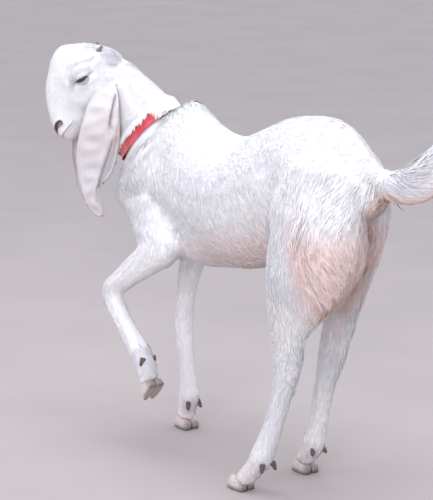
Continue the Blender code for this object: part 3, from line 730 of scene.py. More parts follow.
def sculpt_body(points, normals, regions):
    """Hollows, swellings, skin folds and the cords of the legs."""
    body = to_body(points)
    push = np.zeros(len(points))
    for forward, left, up, radius, height in FORMS:
        for side in (1.0, -1.0):
            push += height * bump(body, (forward, side * left, up), radius)
    for fold, depth in FOLDS:
        gap = distance_to_path(body, fold)
        push -= depth * smooth_step(0.009, 0.001, gap)
        push += 0.4 * depth * np.exp(-((gap - 0.013) / 0.005) ** 2)
    for number in (4, 5, 6, 7):
        joints = [at(*joint) for joint in LIMBS[REGIONS[number]]]
        for joint, radius, height in ((joints[-2], 0.030, 0.0034), (joints[-4], 0.034, 0.0016)):
            push += height * bump(points, joint, radius) * (regions == number)
        shank = joints[-4:-1]
        run = unit(np.array(shank[-1] - shank[0]))
        middle_line = distance_to_path(points, shank)
        across = np.cross(np.array(LEFT), run)
        offset = (points - np.array(shank[0])) @ unit(across)
        start = (points - np.array(shank[0])) @ run
        reach = (shank[-1] - shank[0]).length
        within = smooth_step(0.0, 0.25 * reach, start) * smooth_step(reach, 0.75 * reach, start)
        seam = np.exp(-((offset + 0.004) / 0.0035) ** 2) * (middle_line < 0.03)
        push -= 0.0016 * seam * within * (regions == number)
    return points + normals * push[:, None]


# ---------------------------------------------------------------- ears

# Share of the length from the root, reach toward the nose, half width and distance out
EAR_OUTLINE = (
    (-0.060, -0.004, 0.20, 0.026),
    (-0.030, -0.002, 0.26, 0.038),
    (0.000, 0.001, 0.33, 0.050),
    (0.060, 0.006, 0.50, 0.068),
    (0.160, 0.014, 0.70, 0.082),
    (0.300, 0.0195, 0.86, 0.086),
    (0.450, 0.0235, 0.97, 0.079),
    (0.590, 0.0268, 0.92, 0.070),
    (0.670, 0.0290, 0.80, 0.065),
    (0.730, 0.0345, 0.62, 0.063),
    (0.775, 0.0400, 0.43, 0.062),
    (0.830, 0.0395, 0.385, 0.061),
    (0.910, 0.0325, 0.36, 0.060),
    (0.970, 0.0240, 0.29, 0.059),
    (1.000, 0.0200, 0.13, 0.058),
)
EAR_LENGTH = 0.270
EAR_HALF_WIDTH = 0.044
EAR_ROWS = 130
EAR_COLUMNS = 57


def ear_relief(share, rear):
    """Height of an ear's folds above its plain sheet; rear runs from -1 at the front rim to 1."""
    slot_at = np.interp(share, (0.05, 0.10, 0.20, 0.28, 0.33), (0.84, 0.74, 0.54, 0.46, 0.50))
    slot = smooth_step(0.05, 0.11, share) * smooth_step(0.350, 0.29, share)
    height = -0.0120 * slot * np.exp(-((rear - slot_at) / 0.085) ** 2)
    rim_at = np.interp(share, (0.10, 0.25, 0.36, 0.46), (0.98, 0.86, 0.72, 0.70))
    rim = smooth_step(0.06, 0.14, share) * smooth_step(0.58, 0.46, share)
    height += 0.0040 * rim * np.exp(-((rear - rim_at) / 0.10) ** 2)
    edge = np.interp(share, (0.36, 0.455, 0.55, 0.645, 0.72, 0.77), (0.58, 0.53, 0.41, 0.30, 0.34, 0.62))
    lobe = smooth_step(0.36, 0.47, share) * smooth_step(0.80, 0.77, share)
    height -= 0.0095 * lobe * smooth_step(edge, edge + 0.05, rear)
    height += 0.0050 * lobe * smooth_step(0.80, 0.97, rear)
    roll = smooth_step(0.36, 0.52, share) * smooth_step(0.97, 0.80, share)
    height += 0.0045 * roll * np.exp(-((rear - edge + 0.17) / 0.15) ** 2)
    front_rim = smooth_step(0.12, 0.25, share) * np.exp(-((rear + 0.88) / 0.09) ** 2)
    height += 0.0022 * front_rim
    inside = np.clip(1.0 - rear ** 4, 0.0, 1.0) * (1.0 - 0.6 * smooth_step(edge, edge + 0.05, rear))
    dents = np.sin(57.0 * share + 1.4 * rear) * np.cos(2.6 * rear + 0.9)
    dents += 0.8 * np.sin(35.0 * share - 3.1 * rear + 1.2)
    return height + 0.0013 * dents * inside * smooth_step(0.02, 0.10, share)


def ear_mesh(side, thickness):
    facing = np.array(FORWARD * math.cos(HEAD_TURN) + LEFT * math.sin(HEAD_TURN))
    outward = np.cross(facing, np.array(UP)) * -side
    root = in_head(0.062, -0.033, 0.0)
    outline = np.array(EAR_OUTLINE)
    share = np.linspace(outline[0, 0], 1.0, EAR_ROWS)[:, None]
    across = np.sin(np.linspace(-0.5, 0.5, EAR_COLUMNS) * math.pi)[None, :]
    reach, breadth, out = [np.interp(share, outline[:, 0], outline[:, column]) for column in (1, 2, 3)]
    for _ in range(3):
        for row in (reach, breadth, out):
            row[1:-1] = 0.25 * row[:-2] + 0.5 * row[1:-1] + 0.25 * row[2:]
    curl = 0.017 * breadth * across * across
    lean = 0.013 * across * (1.0 - share) if side > 0.0 else 0.0 * across
    out = out - (0.018 if side < 0.0 else 0.0) * smooth_step(-0.02, 0.05, share)
    depth = out - curl - lean + ear_relief(share, -across)
    width = reach + EAR_HALF_WIDTH * breadth * across
    drop = EAR_LENGTH * share + 0.0 * across
    sheet = root + width[..., None] * facing + depth[..., None] * outward - drop[..., None] * np.array(UP)
    half = 0.5 * thickness * np.sqrt(np.clip(1.0 - np.abs(across) ** 6, 0.0, 1.0)) + 0.0 * share
    half = np.maximum(half, 0.0002)
    front = (sheet + half[..., None] * outward).reshape(-1, 3)
    back = (sheet - half[..., None] * outward).reshape(-1, 3)
    shape = bmesh.new()
    sides = [[shape.verts.new(point) for point in layer] for layer in (front, back)]
    for row in range(EAR_ROWS - 1):
        for column in range(EAR_COLUMNS - 1):
            first = row * EAR_COLUMNS + column
            corners = (first, first + 1, first + 1 + EAR_COLUMNS, first + EAR_COLUMNS)
            shape.faces.new([sides[0][corner] for corner in corners])
            shape.faces.new([sides[1][corner] for corner in reversed(corners)])
    rim = [edge for edge in shape.edges if edge.is_boundary]
    bmesh.ops.bridge_loops(shape, edges=rim)
    bmesh.ops.recalc_face_normals(shape, faces=shape.faces)
    mesh = bpy.data.meshes.new("ear")
    shape.to_mesh(mesh)
    shape.free()
    return mesh


# ---------------------------------------------------------------- skin

# How deep the skin lies under the outline of the coat, by region
COAT_DEPTH = {
    "trunk": 0.0036, "neck": 0.0042, "head": 0.0016, "tail": 0.007, "foreleg_left": 0.0004,
    "foreleg_right": 0.0004, "hindleg_left": 0.0010, "hindleg_right": 0.0010, "ear_left": 0.001,
    "ear_right": 0.001,
}


# Where the flesh is smoothed more: forward, left, up and radius
SOFT_SPOTS = (
    (0.035, 0.085, 0.500, 0.085), (-0.020, 0.095, 0.560, 0.085), (-0.070, 0.098, 0.500, 0.070),
    (-0.110, 0.100, 0.490, 0.050), (0.090, 0.060, 0.640, 0.060), (-0.385, 0.095, 0.560, 0.075),
    (-0.400, 0.095, 0.660, 0.080), (-0.500, 0.070, 0.640, 0.070), (-0.575, 0.020, 0.600, 0.060),
    (-0.520, 0.090, 0.520, 0.060), (-0.480, 0.080, 0.400, 0.060),
)
SOFT_ROUNDS = 130


def soften(points, edges):
    body = to_body(points)
    share = np.zeros(len(points))
    for forward, left, up, radius in SOFT_SPOTS:
        for side in (1.0, -1.0):
            share = np.maximum(share, bump(body, (forward, side * left, up), radius))
    eased = spread(points, edges, SOFT_ROUNDS)
    return points + (eased - points) * smooth_step(0.10, 0.60, share)[:, None]


def refine(made, chosen):
    """Split the faces that the test picks into four."""
    shape = bmesh.new()
    shape.from_mesh(made.data)
    faces = [face for face in shape.faces if chosen(face.calc_center_median())]
    edges = list({edge for face in faces for edge in face.edges})
    bmesh.ops.subdivide_edges(shape, edges=edges, cuts=1, use_grid_fill=True)
    shape.to_mesh(made.data)
    shape.free()


def make_skin(settings, eye_radius):
    """One closed skin over all flesh and both ears, with its hair directions, markings and painted shade."""
    skin = new_object("skin", nodes_as_one("skin", FLESH + EYES, 0.0005))
    rebuilt(skin, settings.voxel)
    mesh = skin.data
    edges = edges_of(mesh)
    points = spread(places(mesh), edges, settings.relax_rounds)
    points = soften(points, edges)
    put_places(mesh, points)
    regions, depths = place_on_frame(points)
    wanted = np.array([COAT_DEPTH[region] for region in REGIONS])[regions]
    body = to_body(points)
    thick = bump(body, (-0.54, 0.05, 0.56), 0.12) + bump(body, (-0.54, -0.05, 0.56), 0.12)
    wanted = spread(wanted + 0.004 * thick, edges, 12)
    sink = spread(wanted - depths, edges, 8)
    points = points - normals_of(mesh) * sink[:, None]
    put_places(mesh, spread(points, edges, 2))

    head_middle = Vector(in_head(0.10, 0.0, 0.0))
    details = [Vector(eye_centre(side)) for side in (1.0, -1.0)]
    muzzle = Vector(in_head(0.195, 0.0, 0.0))
    refine(skin, lambda spot: (spot - head_middle).length < 0.125)
    put_places(skin.data, spread(places(skin.data), edges_of(skin.data), 2))
    refine(skin, lambda spot: min((spot - eye).length for eye in details) < 0.027
           or (spot - muzzle).length < 0.040)
    refine(skin, lambda spot: min((spot - eye).length for eye in details) < 0.0205
           or (spot - muzzle).length < 0.032)
    mesh = skin.data
    points = sculpt_face(places(mesh), normals_of(mesh))
    points = sculpt_eyes(points, eye_radius)
    put_places(mesh, points)
    regions, _ = place_on_frame(points)
    put_places(mesh, sculpt_body(points, normals_of(mesh), regions))

    for side in (1.0, -1.0):
        ear = new_object("ear", ear_mesh(side, settings.ear_thickness))
        join = skin.modifiers.new("ear", "BOOLEAN")
        join.operation = "UNION"
        join.solver = "EXACT"
        join.object = ear
        applied(skin)
        bpy.data.objects.remove(ear, do_unlink=True)
    mesh = skin.data
    points, edges = places(mesh), edges_of(mesh)
    regions, _ = place_on_frame(points)
    is_ear = np.isin(regions, (8, 9)).astype(float)
    seam = np.abs(spread(is_ear, edges, 1) - is_ear) > 0.01
    near_seam = np.clip(3.0 * spread(seam.astype(float), edges, 5), 0.0, 1.0)
    eased = spread(points, edges, 6)
    put_places(mesh, points + (eased - points) * near_seam[:, None])
    skin.data.polygons.foreach_set("use_smooth", np.ones(len(mesh.polygons), bool))
    mark_skin(skin)
    return skin


def mark_skin(skin):
    mesh = skin.data
    points, normals, edges = places(mesh), normals_of(mesh), edges_of(mesh)
    regions, _ = place_on_frame(points)
    rosy, stain, rims_and_painted_shade = marks_and_painted_shade(points, normals, regions)
    add_attribute(mesh, "lie", lie_of_hair(points, normals, regions, edges))
    add_attribute(mesh, "region", regions.astype(float))
    add_attribute(mesh, "rosy", spread(rosy, edges, 4))
    add_attribute(mesh, "stain", spread(stain, edges, 4))
    # Painted shade in the hollows and creases of the skin, added to the dark share
    hollow = np.sum((spread(points, edges, 5) - points) * normals, axis=1)
    add_attribute(mesh, "rims_and_painted_shade", np.clip(rims_and_painted_shade + 0.28 * smooth_step(0.0003, 0.0014, hollow), 0.0, 1.0))


# ---------------------------------------------------------------- unwrap of the skin's own shape

class Unwrap:
    """Flat charts, one for each region and side of it, packed into the unit square."""

    MARGIN = 0.004

    def __init__(self, mesh, numbers):
        points, edges = places(mesh), edges_of(mesh)
        self.triangles = triangles_of(mesh)
        self.regions = read_attribute(mesh, "region", 1).astype(int)
        normals = unit(spread(normals_of(mesh), edges, 10))
        corner_regions = self.regions[self.triangles]
        self.face_regions = np.median(corner_regions, axis=1).astype(int)
        facing = normals[self.triangles].mean(axis=1)
        self.face_charts = self.chart_numbers(facing, self.face_regions)
        centres = points[self.triangles].mean(axis=1)
        self.charts = {}
        rectangles = []
        for chart in np.unique(self.face_charts[np.isin(self.face_regions, numbers)]):
            spots = points[self.triangles[self.face_charts == chart]].reshape(-1, 3)
            flat = self.flatten(spots, chart)
            low = flat.min(axis=0)
            rectangles.append((chart, low, flat.max(axis=0) - low + 2.0 * self.MARGIN))
        self.pack(rectangles)
        self.centres = centres

    @staticmethod
    def axes(region):
        if REGIONS[region] in ("head", "ear_left", "ear_right"):
            return HEAD
        return np.array((FORWARD, LEFT, UP))

    def chart_numbers(self, facing, regions):
        numbers = np.zeros(len(facing), int)
        for region in range(len(REGIONS)):
            chosen = regions == region
            local = facing[chosen] @ self.axes(region).T
            if REGIONS[region] in LEGS:
                local[:, 2] *= 0.4
            axis = np.abs(local).argmax(axis=1)
            sign = np.take_along_axis(local, axis[:, None], axis=1)[:, 0] < 0.0
            numbers[chosen] = region * 6 + axis * 2 + sign
        return numbers

    def flatten(self, spots, chart):
        local = spots @ self.axes(chart // 6).T
        axis = (chart % 6) // 2
        return np.delete(local, axis, axis=1)

    def pack(self, rectangles):
        """Lay the charts in rows, widest first, inside the narrowest square that holds them."""
        upright = []
        for chart, low, size in rectangles:
            turned = size[1] > size[0]
            upright.append((chart, low, size[::-1] if turned else size, turned))
        upright.sort(key=lambda row: -row[2][1])
        area = sum(row[2][0] * row[2][1] for row in upright)
        side = math.sqrt(area)
        while not self.fits(upright, side):
            side *= 1.02

    def fits(self, upright, side):
        x, y, row_height = 0.0, 0.0, 0.0
        charts = {}
        for chart, low, size, turned in upright:
            if x + size[0] > side:
                x, y, row_height = 0.0, y + row_height, 0.0
            row_height = max(row_height, size[1])
            if size[0] > side or y + row_height > side:
                return False
            charts[int(chart)] = (low, turned, x + self.MARGIN, y + self.MARGIN, side)
            x += size[0]
        self.charts = charts
        return True

    def place(self, spots, charts):
        """Where points on the skin lie on the map."""
        flat = np.zeros((len(spots), 2))
        for chart, (low, turned, x, y, side) in self.charts.items():
            chosen = charts == chart
            local = self.flatten(spots[chosen], chart) - low
            if turned:
                local = local[:, ::-1]
            flat[chosen] = (local + (x, y)) / side
        return flat


def put_map(mesh, flat):
    """Give each corner of the mesh its place on the map named OFBake."""
    layer = mesh.uv_layers.new(name="OFBake")
    layer.data.foreach_set("uv", flat.astype(np.float32).ravel())


def map_skin(skin):
    mesh = skin.data
    shape = bmesh.new()
    shape.from_mesh(mesh)
    bmesh.ops.triangulate(shape, faces=[face for face in shape.faces if len(face.verts) > 3])
    shape.to_mesh(mesh)
    shape.free()
    mesh.update()
    unwrap = Unwrap(mesh, range(len(REGIONS)))
    owners = np.empty(len(mesh.loop_triangles), np.int32)
    mesh.loop_triangles.foreach_get("polygon_index", owners)
    corners = np.empty(len(mesh.loops), np.int32)
    mesh.loops.foreach_get("vertex_index", corners)
    charts = np.repeat(unwrap.face_charts[np.argsort(owners)], 3)
    put_map(mesh, unwrap.place(places(mesh)[corners], charts))


# ---------------------------------------------------------------- hair

class Roots:
    """Places on the skin where tufts start, and what they take from it there."""

    def __init__(self, skin, unwrap, numbers, count, seed, density=None):
        mesh = skin.data
        rng = np.random.default_rng(seed)
        points, triangles = places(mesh), unwrap.triangles
        normals, lie = normals_of(mesh), read_attribute(mesh, "lie", 3)
        corners = points[triangles]
        area = 0.5 * np.linalg.norm(
            np.cross(corners[:, 1] - corners[:, 0], corners[:, 2] - corners[:, 0]), axis=1)
        weight = area * np.isin(unwrap.face_regions, numbers)
        if density is not None:
            weight = weight * density(corners.mean(axis=1), normals[triangles].mean(axis=1))
        total = np.cumsum(weight)
        steps = (np.arange(count) + rng.random(count)) / count * total[-1]
        faces = np.searchsorted(total, steps)
        first, second = rng.random(count), rng.random(count)
        over = first + second > 1.0
        first[over], second[over] = 1.0 - first[over], 1.0 - second[over]
        shares = np.stack((1.0 - first - second, first, second), axis=1)[:, :, None]
        picked = triangles[faces]
        self.count = count
        self.rng = rng
        self.points = (points[picked] * shares).sum(axis=1)
        self.normals = unit((normals[picked] * shares).sum(axis=1))
        self.lie = flat_on((lie[picked] * shares).sum(axis=1), self.normals)
        self.flat = unwrap.place(self.points, unwrap.face_charts[faces])
        self.marks = {
            name: (read_attribute(mesh, name, 1)[picked] * shares[:, :, 0]).sum(axis=1)
            for name in ("rosy", "stain", "rims_and_painted_shade")
        }
        self.regions = unwrap.face_regions[faces]
        self.tone = rng.random(count)

    def turn(self, spread_angle):
        """Turn each tuft a little in the plane of the skin."""
        angle = self.rng.normal(0.0, spread_angle, self.count)[:, None]
        sideways = np.cross(self.normals, self.lie)
        self.lie = unit(self.lie * np.cos(angle) + sideways * np.sin(angle))

    def keep(self, chosen):
        for name in ("points", "normals", "lie", "flat", "regions", "tone"):
            setattr(self, name, getattr(self, name)[chosen])
        self.marks = {name: values[chosen] for name, values in self.marks.items()}
        self.count = int(chosen.sum())


PATCH = 0.003


def tuft_piece(name, roots, spine, widths, normals, softness=0.35):
    """Join three-sided tapering tufts along their spines into one piece."""
    count, steps, _ = spine.shape
    rings = steps - 1
    run = unit(np.gradient(spine, axis=1))
    side = unit(np.cross(run, normals))
    top = np.cross(side, run)
    width = widths[:, :, None]
    offsets = (-0.5 * side * width, 0.5 * side * width, 0.42 * top * width)
    body = np.stack([spine + offset for offset in offsets], axis=2)[:, :rings]
    tips = spine[:, -1][:, None]
    points = np.concatenate((body.reshape(count, -1, 3), tips), axis=1)
    leaning = np.stack((-side, side, top), axis=2)[:, :rings].reshape(count, -1, 3)
    base = np.repeat(normals[:, :rings], 3, axis=1)
    soft = np.concatenate((unit(base + softness * leaning), normals[:, -1:]), axis=1)

    corners = []
    for ring in range(rings - 1):
        for edge in range(3):
            low, low_next = 3 * ring + edge, 3 * ring + (edge + 1) % 3
            corners.append((low_next, low, low + 3))
            corners.append((low_next, low + 3, low_next + 3))
    last = 3 * (rings - 1)
    for edge in range(3):
        corners.append((last + (edge + 1) % 3, last + edge, 3 * rings))
    corners = np.array(corners)
    size = points.shape[1]
    every = (corners[None] + (np.arange(count) * size)[:, None, None]).reshape(-1, 3)
    mesh = mesh_of_triangles(name, points.reshape(-1, 3), every)

    along_tuft = np.append(np.repeat(np.linspace(0.0, 1.0, steps)[:rings], 3), 1.0)
    across_tuft = np.append(np.tile((-1.0, 1.0, 0.0), rings), 0.0)
    patch = np.stack((0.5 * across_tuft, along_tuft - 0.5), axis=1) * PATCH
    flat = np.clip(roots.flat[:, None] + patch[None], 0.0, 1.0).reshape(-1, 2)
    put_map(mesh, flat[every.ravel()])
    add_attribute(mesh, "along", np.tile(along_tuft, count))
    add_attribute(mesh, "tone", np.repeat(roots.tone, size))
    for mark, values in roots.marks.items():
        add_attribute(mesh, mark, np.repeat(values, size))
    mesh.normals_split_custom_set_from_vertices(soft.reshape(-1, 3).astype(np.float32))
    piece = new_object(name, mesh)
    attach(piece, "root")
    return piece


# Length of the short hair by region, as a share of the body's, and how closely it grows
HAIR_BY_REGION = {
    "trunk": (1.0, 1.0), "neck": (1.05, 1.1), "head": (0.45, 2.6), "tail": (1.3, 1.3),
    "foreleg_left": (0.62, 1.7), "foreleg_right": (0.62, 1.7), "hindleg_left": (0.85, 1.5),
    "hindleg_right": (0.85, 1.5), "ear_left": (0.34, 1.7), "ear_right": (0.34, 1.2),
}

# Pieces of the short coat: name, regions, share of the tufts
COAT_PIECES = (
    ("coat_trunk", (0,), 0.190),
    ("coat_trunk_under", (0,), 0.190),
    ("coat_neck", (1,), 0.110),
    ("coat_head", (2,), 0.140),
    ("coat_ears", (8, 9), 0.080),
    ("coat_tail", (3,), 0.030),
    ("coat_foreleg_left", (4,), 0.055),
    ("coat_foreleg_right", (5,), 0.055),
    ("coat_hindleg_left", (6,), 0.150),
    ("coat_hindleg_right", (7,), 0.110),
)


def free_of_openings(points):
    """False where a tuft would grow out of a lid opening or a nostril."""
    free = np.ones(len(points), bool)
    head = to_head(points)
    for side in (1.0, -1.0):
        outside, _ = lid_angles(points, side)
        free &= outside > 3.5
        gap = distance_to_path(head, [(n, b, side * l) for n, b, l in NOSTRIL])
        free &= gap > 0.0052
    return free


def make_short_coat(skin, settings):
    """Short hair that lies flat, region by region."""
    pieces = []
    for order, (name, numbers, share) in enumerate(COAT_PIECES):
        unwrap = Unwrap(skin.data, numbers)
        roots = Roots(skin, unwrap, numbers, int(settings.tufts * share), 40 + order)
        roots.keep(free_of_openings(roots.points))
        roots.turn(0.17)
        roots.tone = 0.40 + 0.45 * roots.tone
        scale = np.array([HAIR_BY_REGION[region][0] for region in REGIONS])[roots.regions]
        body = to_body(roots.points)
        on_leg = np.isin(roots.regions, (4, 5, 6, 7))
        scale *= np.where(on_leg, 0.70 + 0.55 * smooth_step(0.05, 0.45, body[:, 2]), 1.0)
        muzzle = smooth_step(0.110, 0.200, to_head(roots.points)[:, 0]) * (roots.regions == 2)
        scale *= 1.0 - 0.45 * muzzle
        length = settings.body_length * scale * roots.rng.uniform(0.75, 1.2, roots.count)
        width = settings.body_width * (0.55 + 0.45 * scale) * roots.rng.uniform(0.8, 1.2, roots.count)
        lift = settings.lift * roots.rng.uniform(0.6, 1.35, roots.count)
        lift *= np.where(np.isin(roots.regions, (2, 8, 9)), 0.8, 1.0)
        lift *= 1.0 - 0.55 * smooth_step(0.30, 0.85, roots.normals[:, 2])
        bend = roots.rng.normal(0.0, 0.10, roots.count)
        share_along = np.array((0.0, 0.5, 1.0))[None, :, None]
        ahead = roots.lie[:, None] * share_along
        rise = roots.normals[:, None] * (lift[:, None, None] * share_along * (1.35 - 0.45 * share_along))
        aside = np.cross(roots.normals, roots.lie)[:, None] * bend[:, None, None] * share_along ** 2
        spine = roots.points[:, None] + length[:, None, None] * (ahead + rise + aside)
        spine -= roots.normals[:, None] * 0.0004
        widths = width[:, None] * np.array((1.0, 0.72, 0.0))[None]
        normals = np.repeat(roots.normals[:, None], 3, axis=1)
        pieces.append(tuft_piece(name, roots, spine, widths, normals, 0.15))
    return pieces


def skin_tree(skin):
    return BVHTree.FromPolygons([Vector(p) for p in places(skin.data)], triangles_of(skin.data).tolist())


def follow_skin(skin, roots, length, steps, height, droop, wave):
    """Spines that creep over the skin along the lie of the hair, with the skin's normal at each step."""
    tree = skin_tree(skin)
    triangles = triangles_of(skin.data)
    lie, normals = read_attribute(skin.data, "lie", 3), normals_of(skin.data)
    spine = np.zeros((roots.count, steps, 3))
    spine_normals = np.zeros_like(spine)
    place, heading, normal = roots.points.copy(), roots.lie.copy(), roots.normals.copy()
    down = np.array((0.0, 0.0, -1.0))
    phase = roots.rng.random(roots.count) * 2.0 * math.pi
    for step in range(steps):
        share = step / (steps - 1)
        sway = np.cross(normal, heading) * (wave * np.sin(phase + 5.0 * share))[:, None] * share
        rise = height * share ** 0.5 - 0.0006
        spine[:, step] = place + normal * rise[:, None] + sway * length[:, None]
        spine_normals[:, step] = normal
        if step == steps - 1:
            break
        stride = heading + down * (droop * share)[:, None]
        place = place + unit(stride) * (length / (steps - 1))[:, None]
        for index in range(roots.count):
            spot, _, face, distance = tree.find_nearest(Vector(place[index]))
            if distance < 0.010 or (Vector(place[index]) - spot).dot(Vector(normal[index])) < 0.0:
                place[index] = spot
                corner = triangles[face]
                normal[index] = normals[corner].mean(axis=0)
                heading[index] += 0.55 * lie[corner].mean(axis=0)
        normal = unit(normal)
        heading = unit(heading - normal * np.clip(np.sum(heading * normal, axis=1), -1.0, 0.0)[:, None])
    return spine, spine_normals


def strands_from(roots, strands, scatter):
    """Repeat each root a few times close by, so that a lock is made of strands."""
    count = roots.count * strands
    for name in ("points", "normals", "lie", "flat", "regions", "tone"):
        setattr(roots, name, np.repeat(getattr(roots, name), strands, axis=0))
    roots.marks = {name: np.repeat(values, strands) for name, values in roots.marks.items()}
    side = np.cross(roots.normals, roots.lie)
    roots.points += side * roots.rng.normal(0.0, scatter, (count, 1))
    roots.points += roots.lie * roots.rng.normal(0.0, scatter, (count, 1))
    roots.count = count


def gathered(spine, strands, shares):
    """Strands of a lock drawn together toward its tip."""
    locks = spine.reshape(-1, strands, *spine.shape[1:])
    middle_line = locks.mean(axis=1, keepdims=True)
    pull = (0.75 * shares ** 1.5)[None, None, :, None]
    return (locks + (middle_line - locks) * pull).reshape(spine.shape)


# How far hair rises to clear the collar, how far from the collar's middle it does so fully and not at all,
# how far the strands of a lock are scattered, and how short the tip of the tail's hair gets
COLLAR_RISE, FULL_RISE, NO_RISE = 0.0100, 0.0140, 0.0280
LOCK_SCATTER = 0.0019
TAIL_TIP_SHARE = 0.38


def over_collar(spine, normals, shares):
    """How far the neck's locks rise to lie over the collar."""
    axis = unit(np.array(along(*COLLAR_AXIS)))
    reach = np.abs((spine - np.array(middle("collar"))) @ axis)
    rise = COLLAR_RISE * smooth_step(NO_RISE, FULL_RISE, reach) * smooth_step(0.0, 0.25, shares)[None]
    outward = unit(normals - (normals @ axis)[:, :, None] * axis)
    return outward * rise[:, :, None]


# ---------------------------------------------------------------- long locks

def thigh_density(side):
    def density(points, normals):
        body = to_body(points)
        rear = smooth_step(-0.470, -0.530, body[:, 0] - 0.35 * np.minimum(body[:, 2] - 0.5, 0.0))
        level = smooth_step(0.33, 0.40, body[:, 2]) * smooth_step(0.650, 0.605, body[:, 2])
        backward = smooth_step(-0.1, 0.5, normals[:, 1] + 0.6 * np.abs(normals[:, 0]))
        fan = 1.0 + 1.6 * smooth_step(0.52, 0.56, body[:, 2])
        return rear * level * backward * fan * (side * body[:, 1] > -0.002) * (body[:, 0] > -0.592)
    return density


def hock_density(points, normals):
    body = to_body(points)
    hock = smooth_step(0.20, 0.24, body[:, 2]) * smooth_step(0.40, 0.33, body[:, 2])
    fetlock = 0.8 * smooth_step(0.035, 0.045, body[:, 2]) * smooth_step(0.085, 0.065, body[:, 2])
    return (hock + fetlock) * smooth_step(0.2, 0.7, normals[:, 1])


def fetlock_density(points, normals):
    body = to_body(points)
    standing = smooth_step(0.035, 0.045, body[:, 2]) * smooth_step(0.085, 0.065, body[:, 2])
    raised = smooth_step(0.175, 0.190, body[:, 2]) * smooth_step(0.245, 0.225, body[:, 2])
    return (standing + raised * (body[:, 1] > 0.0)) * smooth_step(0.1, 0.6, normals[:, 1])


def tail_density(points, normals):
    body = to_body(points)
    under = smooth_step(0.0, -0.7, normals[:, 2]) * smooth_step(-0.615, -0.650, body[:, 0])
    return 0.5 + 4.0 * under + smooth_step(-0.66, -0.74, body[:, 0])


def belly_density(points, normals):
    """Down the throat and breast and under the belly."""
    body = to_body(points)
    return smooth_step(-0.60, -0.90, normals[:, 2]) * (body[:, 2] > 0.36)


def collar_edge_density(points, normals):
    """Just above the collar, on the head's side of it."""
    reach = (points - np.array(middle("collar"))) @ unit(np.array(along(*COLLAR_AXIS)))
    return smooth_step(0.0180, 0.0195, reach) * smooth_step(0.0265, 0.0235, reach)


def nape_density(points, normals):
    """On the top of the neck, where long hair falls back over the collar."""
    reach = (points - np.array(middle("collar"))) @ unit(np.array(along(*COLLAR_AXIS)))
    band = smooth_step(0.020, 0.024, reach) * smooth_step(0.050, 0.038, reach)
    return band * smooth_step(0.52, 0.62, normals[:, 2])


def poll_density(points, normals):
    head = to_head(points)
    return smooth_step(0.050, 0.020, np.linalg.norm(head - (0.010, 0.012, 0.0), axis=1))


# Name, regions, density, locks, strands in a lock, length, width, steps, height, droop, wave
LONG_COATS = (
    ("locks_thigh_left", (0, 6), thigh_density(1.0), 1000, 6, "britch", 0.0018, 6, 0.0085, 0.12, 0.12),
    ("locks_thigh_right", (0, 7), thigh_density(-1.0), 700, 6, "britch", 0.0017, 6, 0.0080, 0.12, 0.12),
    ("locks_tail", (3,), tail_density, 1200, 5, "tail", 0.0017, 6, 0.0080, 0.10, 0.05),
    ("locks_hocks", (6, 7), hock_density, 360, 4, 0.024, 0.0013, 4, 0.0060, 0.20, 0.06),
    ("locks_fetlocks", (4, 5), fetlock_density, 260, 4, 0.014, 0.0011, 4, 0.0045, 0.20, 0.05),
    ("locks_belly", (0,), belly_density, 500, 3, 0.020, 0.0013, 4, 0.0030, 0.05, 0.05),
    ("locks_collar_edge", (1,), collar_edge_density, 620, 4, 0.0140, 0.0017, 5, 0.0020, 0.05, 0.10),
    ("locks_nape", (1,), nape_density, 900, 4, 0.056, 0.0034, 6, 0.0024, 0.10, 0.05),
    ("locks_poll", (2, 1), poll_density, 260, 4, 0.016, 0.0012, 4, 0.0035, 0.10, 0.08),
)


def make_locks(skin, settings):
    """Long hair on the thighs, tail, hocks, fetlocks, belly, nape, poll and by the collar."""
    pieces = []
    named = {"britch": settings.britch_length, "tail": settings.tail_length}
    for order, row in enumerate(LONG_COATS):
        name, numbers, density, locks, strands, size, wide, steps, height, droop, wave = row
        roots = Roots(skin, Unwrap(skin.data, numbers), numbers, locks, 90 + order, density)
        roots.turn(0.22)
        sizes = named.get(size, size) * roots.rng.uniform(0.65, 1.15, locks)
        tail_tip = smooth_step(-0.690, -0.780, to_body(roots.points)[:, 0])
        sizes *= 1.0 - (1.0 - TAIL_TIP_SHARE) * tail_tip
        if name == "locks_tail":
            sizes *= 1.0 + 0.25 * smooth_step(0.0, -0.7, roots.normals[:, 2])
        if name == "locks_collar_edge":
            sizes *= 1.0 + 1.3 * smooth_step(0.50, 0.62, roots.normals[:, 2])
        strands_from(roots, strands, LOCK_SCATTER)
        roots.turn(0.05)
        length = np.repeat(sizes, strands) * roots.rng.uniform(0.85, 1.1, roots.count)
        least = 0.80 if numbers == (1,) else 0.25
        raised = height * roots.rng.uniform(least, 1.1, roots.count)
        sag = np.full(roots.count, droop)
        spine, normals = follow_skin(skin, roots, length, steps, raised, sag, wave)
        shares = np.linspace(0.0, 1.0, steps)
        spine = gathered(spine, strands, shares)
        if numbers == (1,):
            spine += over_collar(spine, normals, shares)
        lifted = 0.25 + 0.55 * smooth_step(0.0, -0.7, normals[:, :, 2:])
        normals = unit(normals + lifted * np.array(UP))
        widths = wide * roots.rng.uniform(0.7, 1.2, roots.count)[:, None] * (1.0 - shares ** 2)[None]
        pieces.append(tuft_piece(name, roots, spine, widths, normals, 0.25))
    return pieces


# ---------------------------------------------------------------- materials

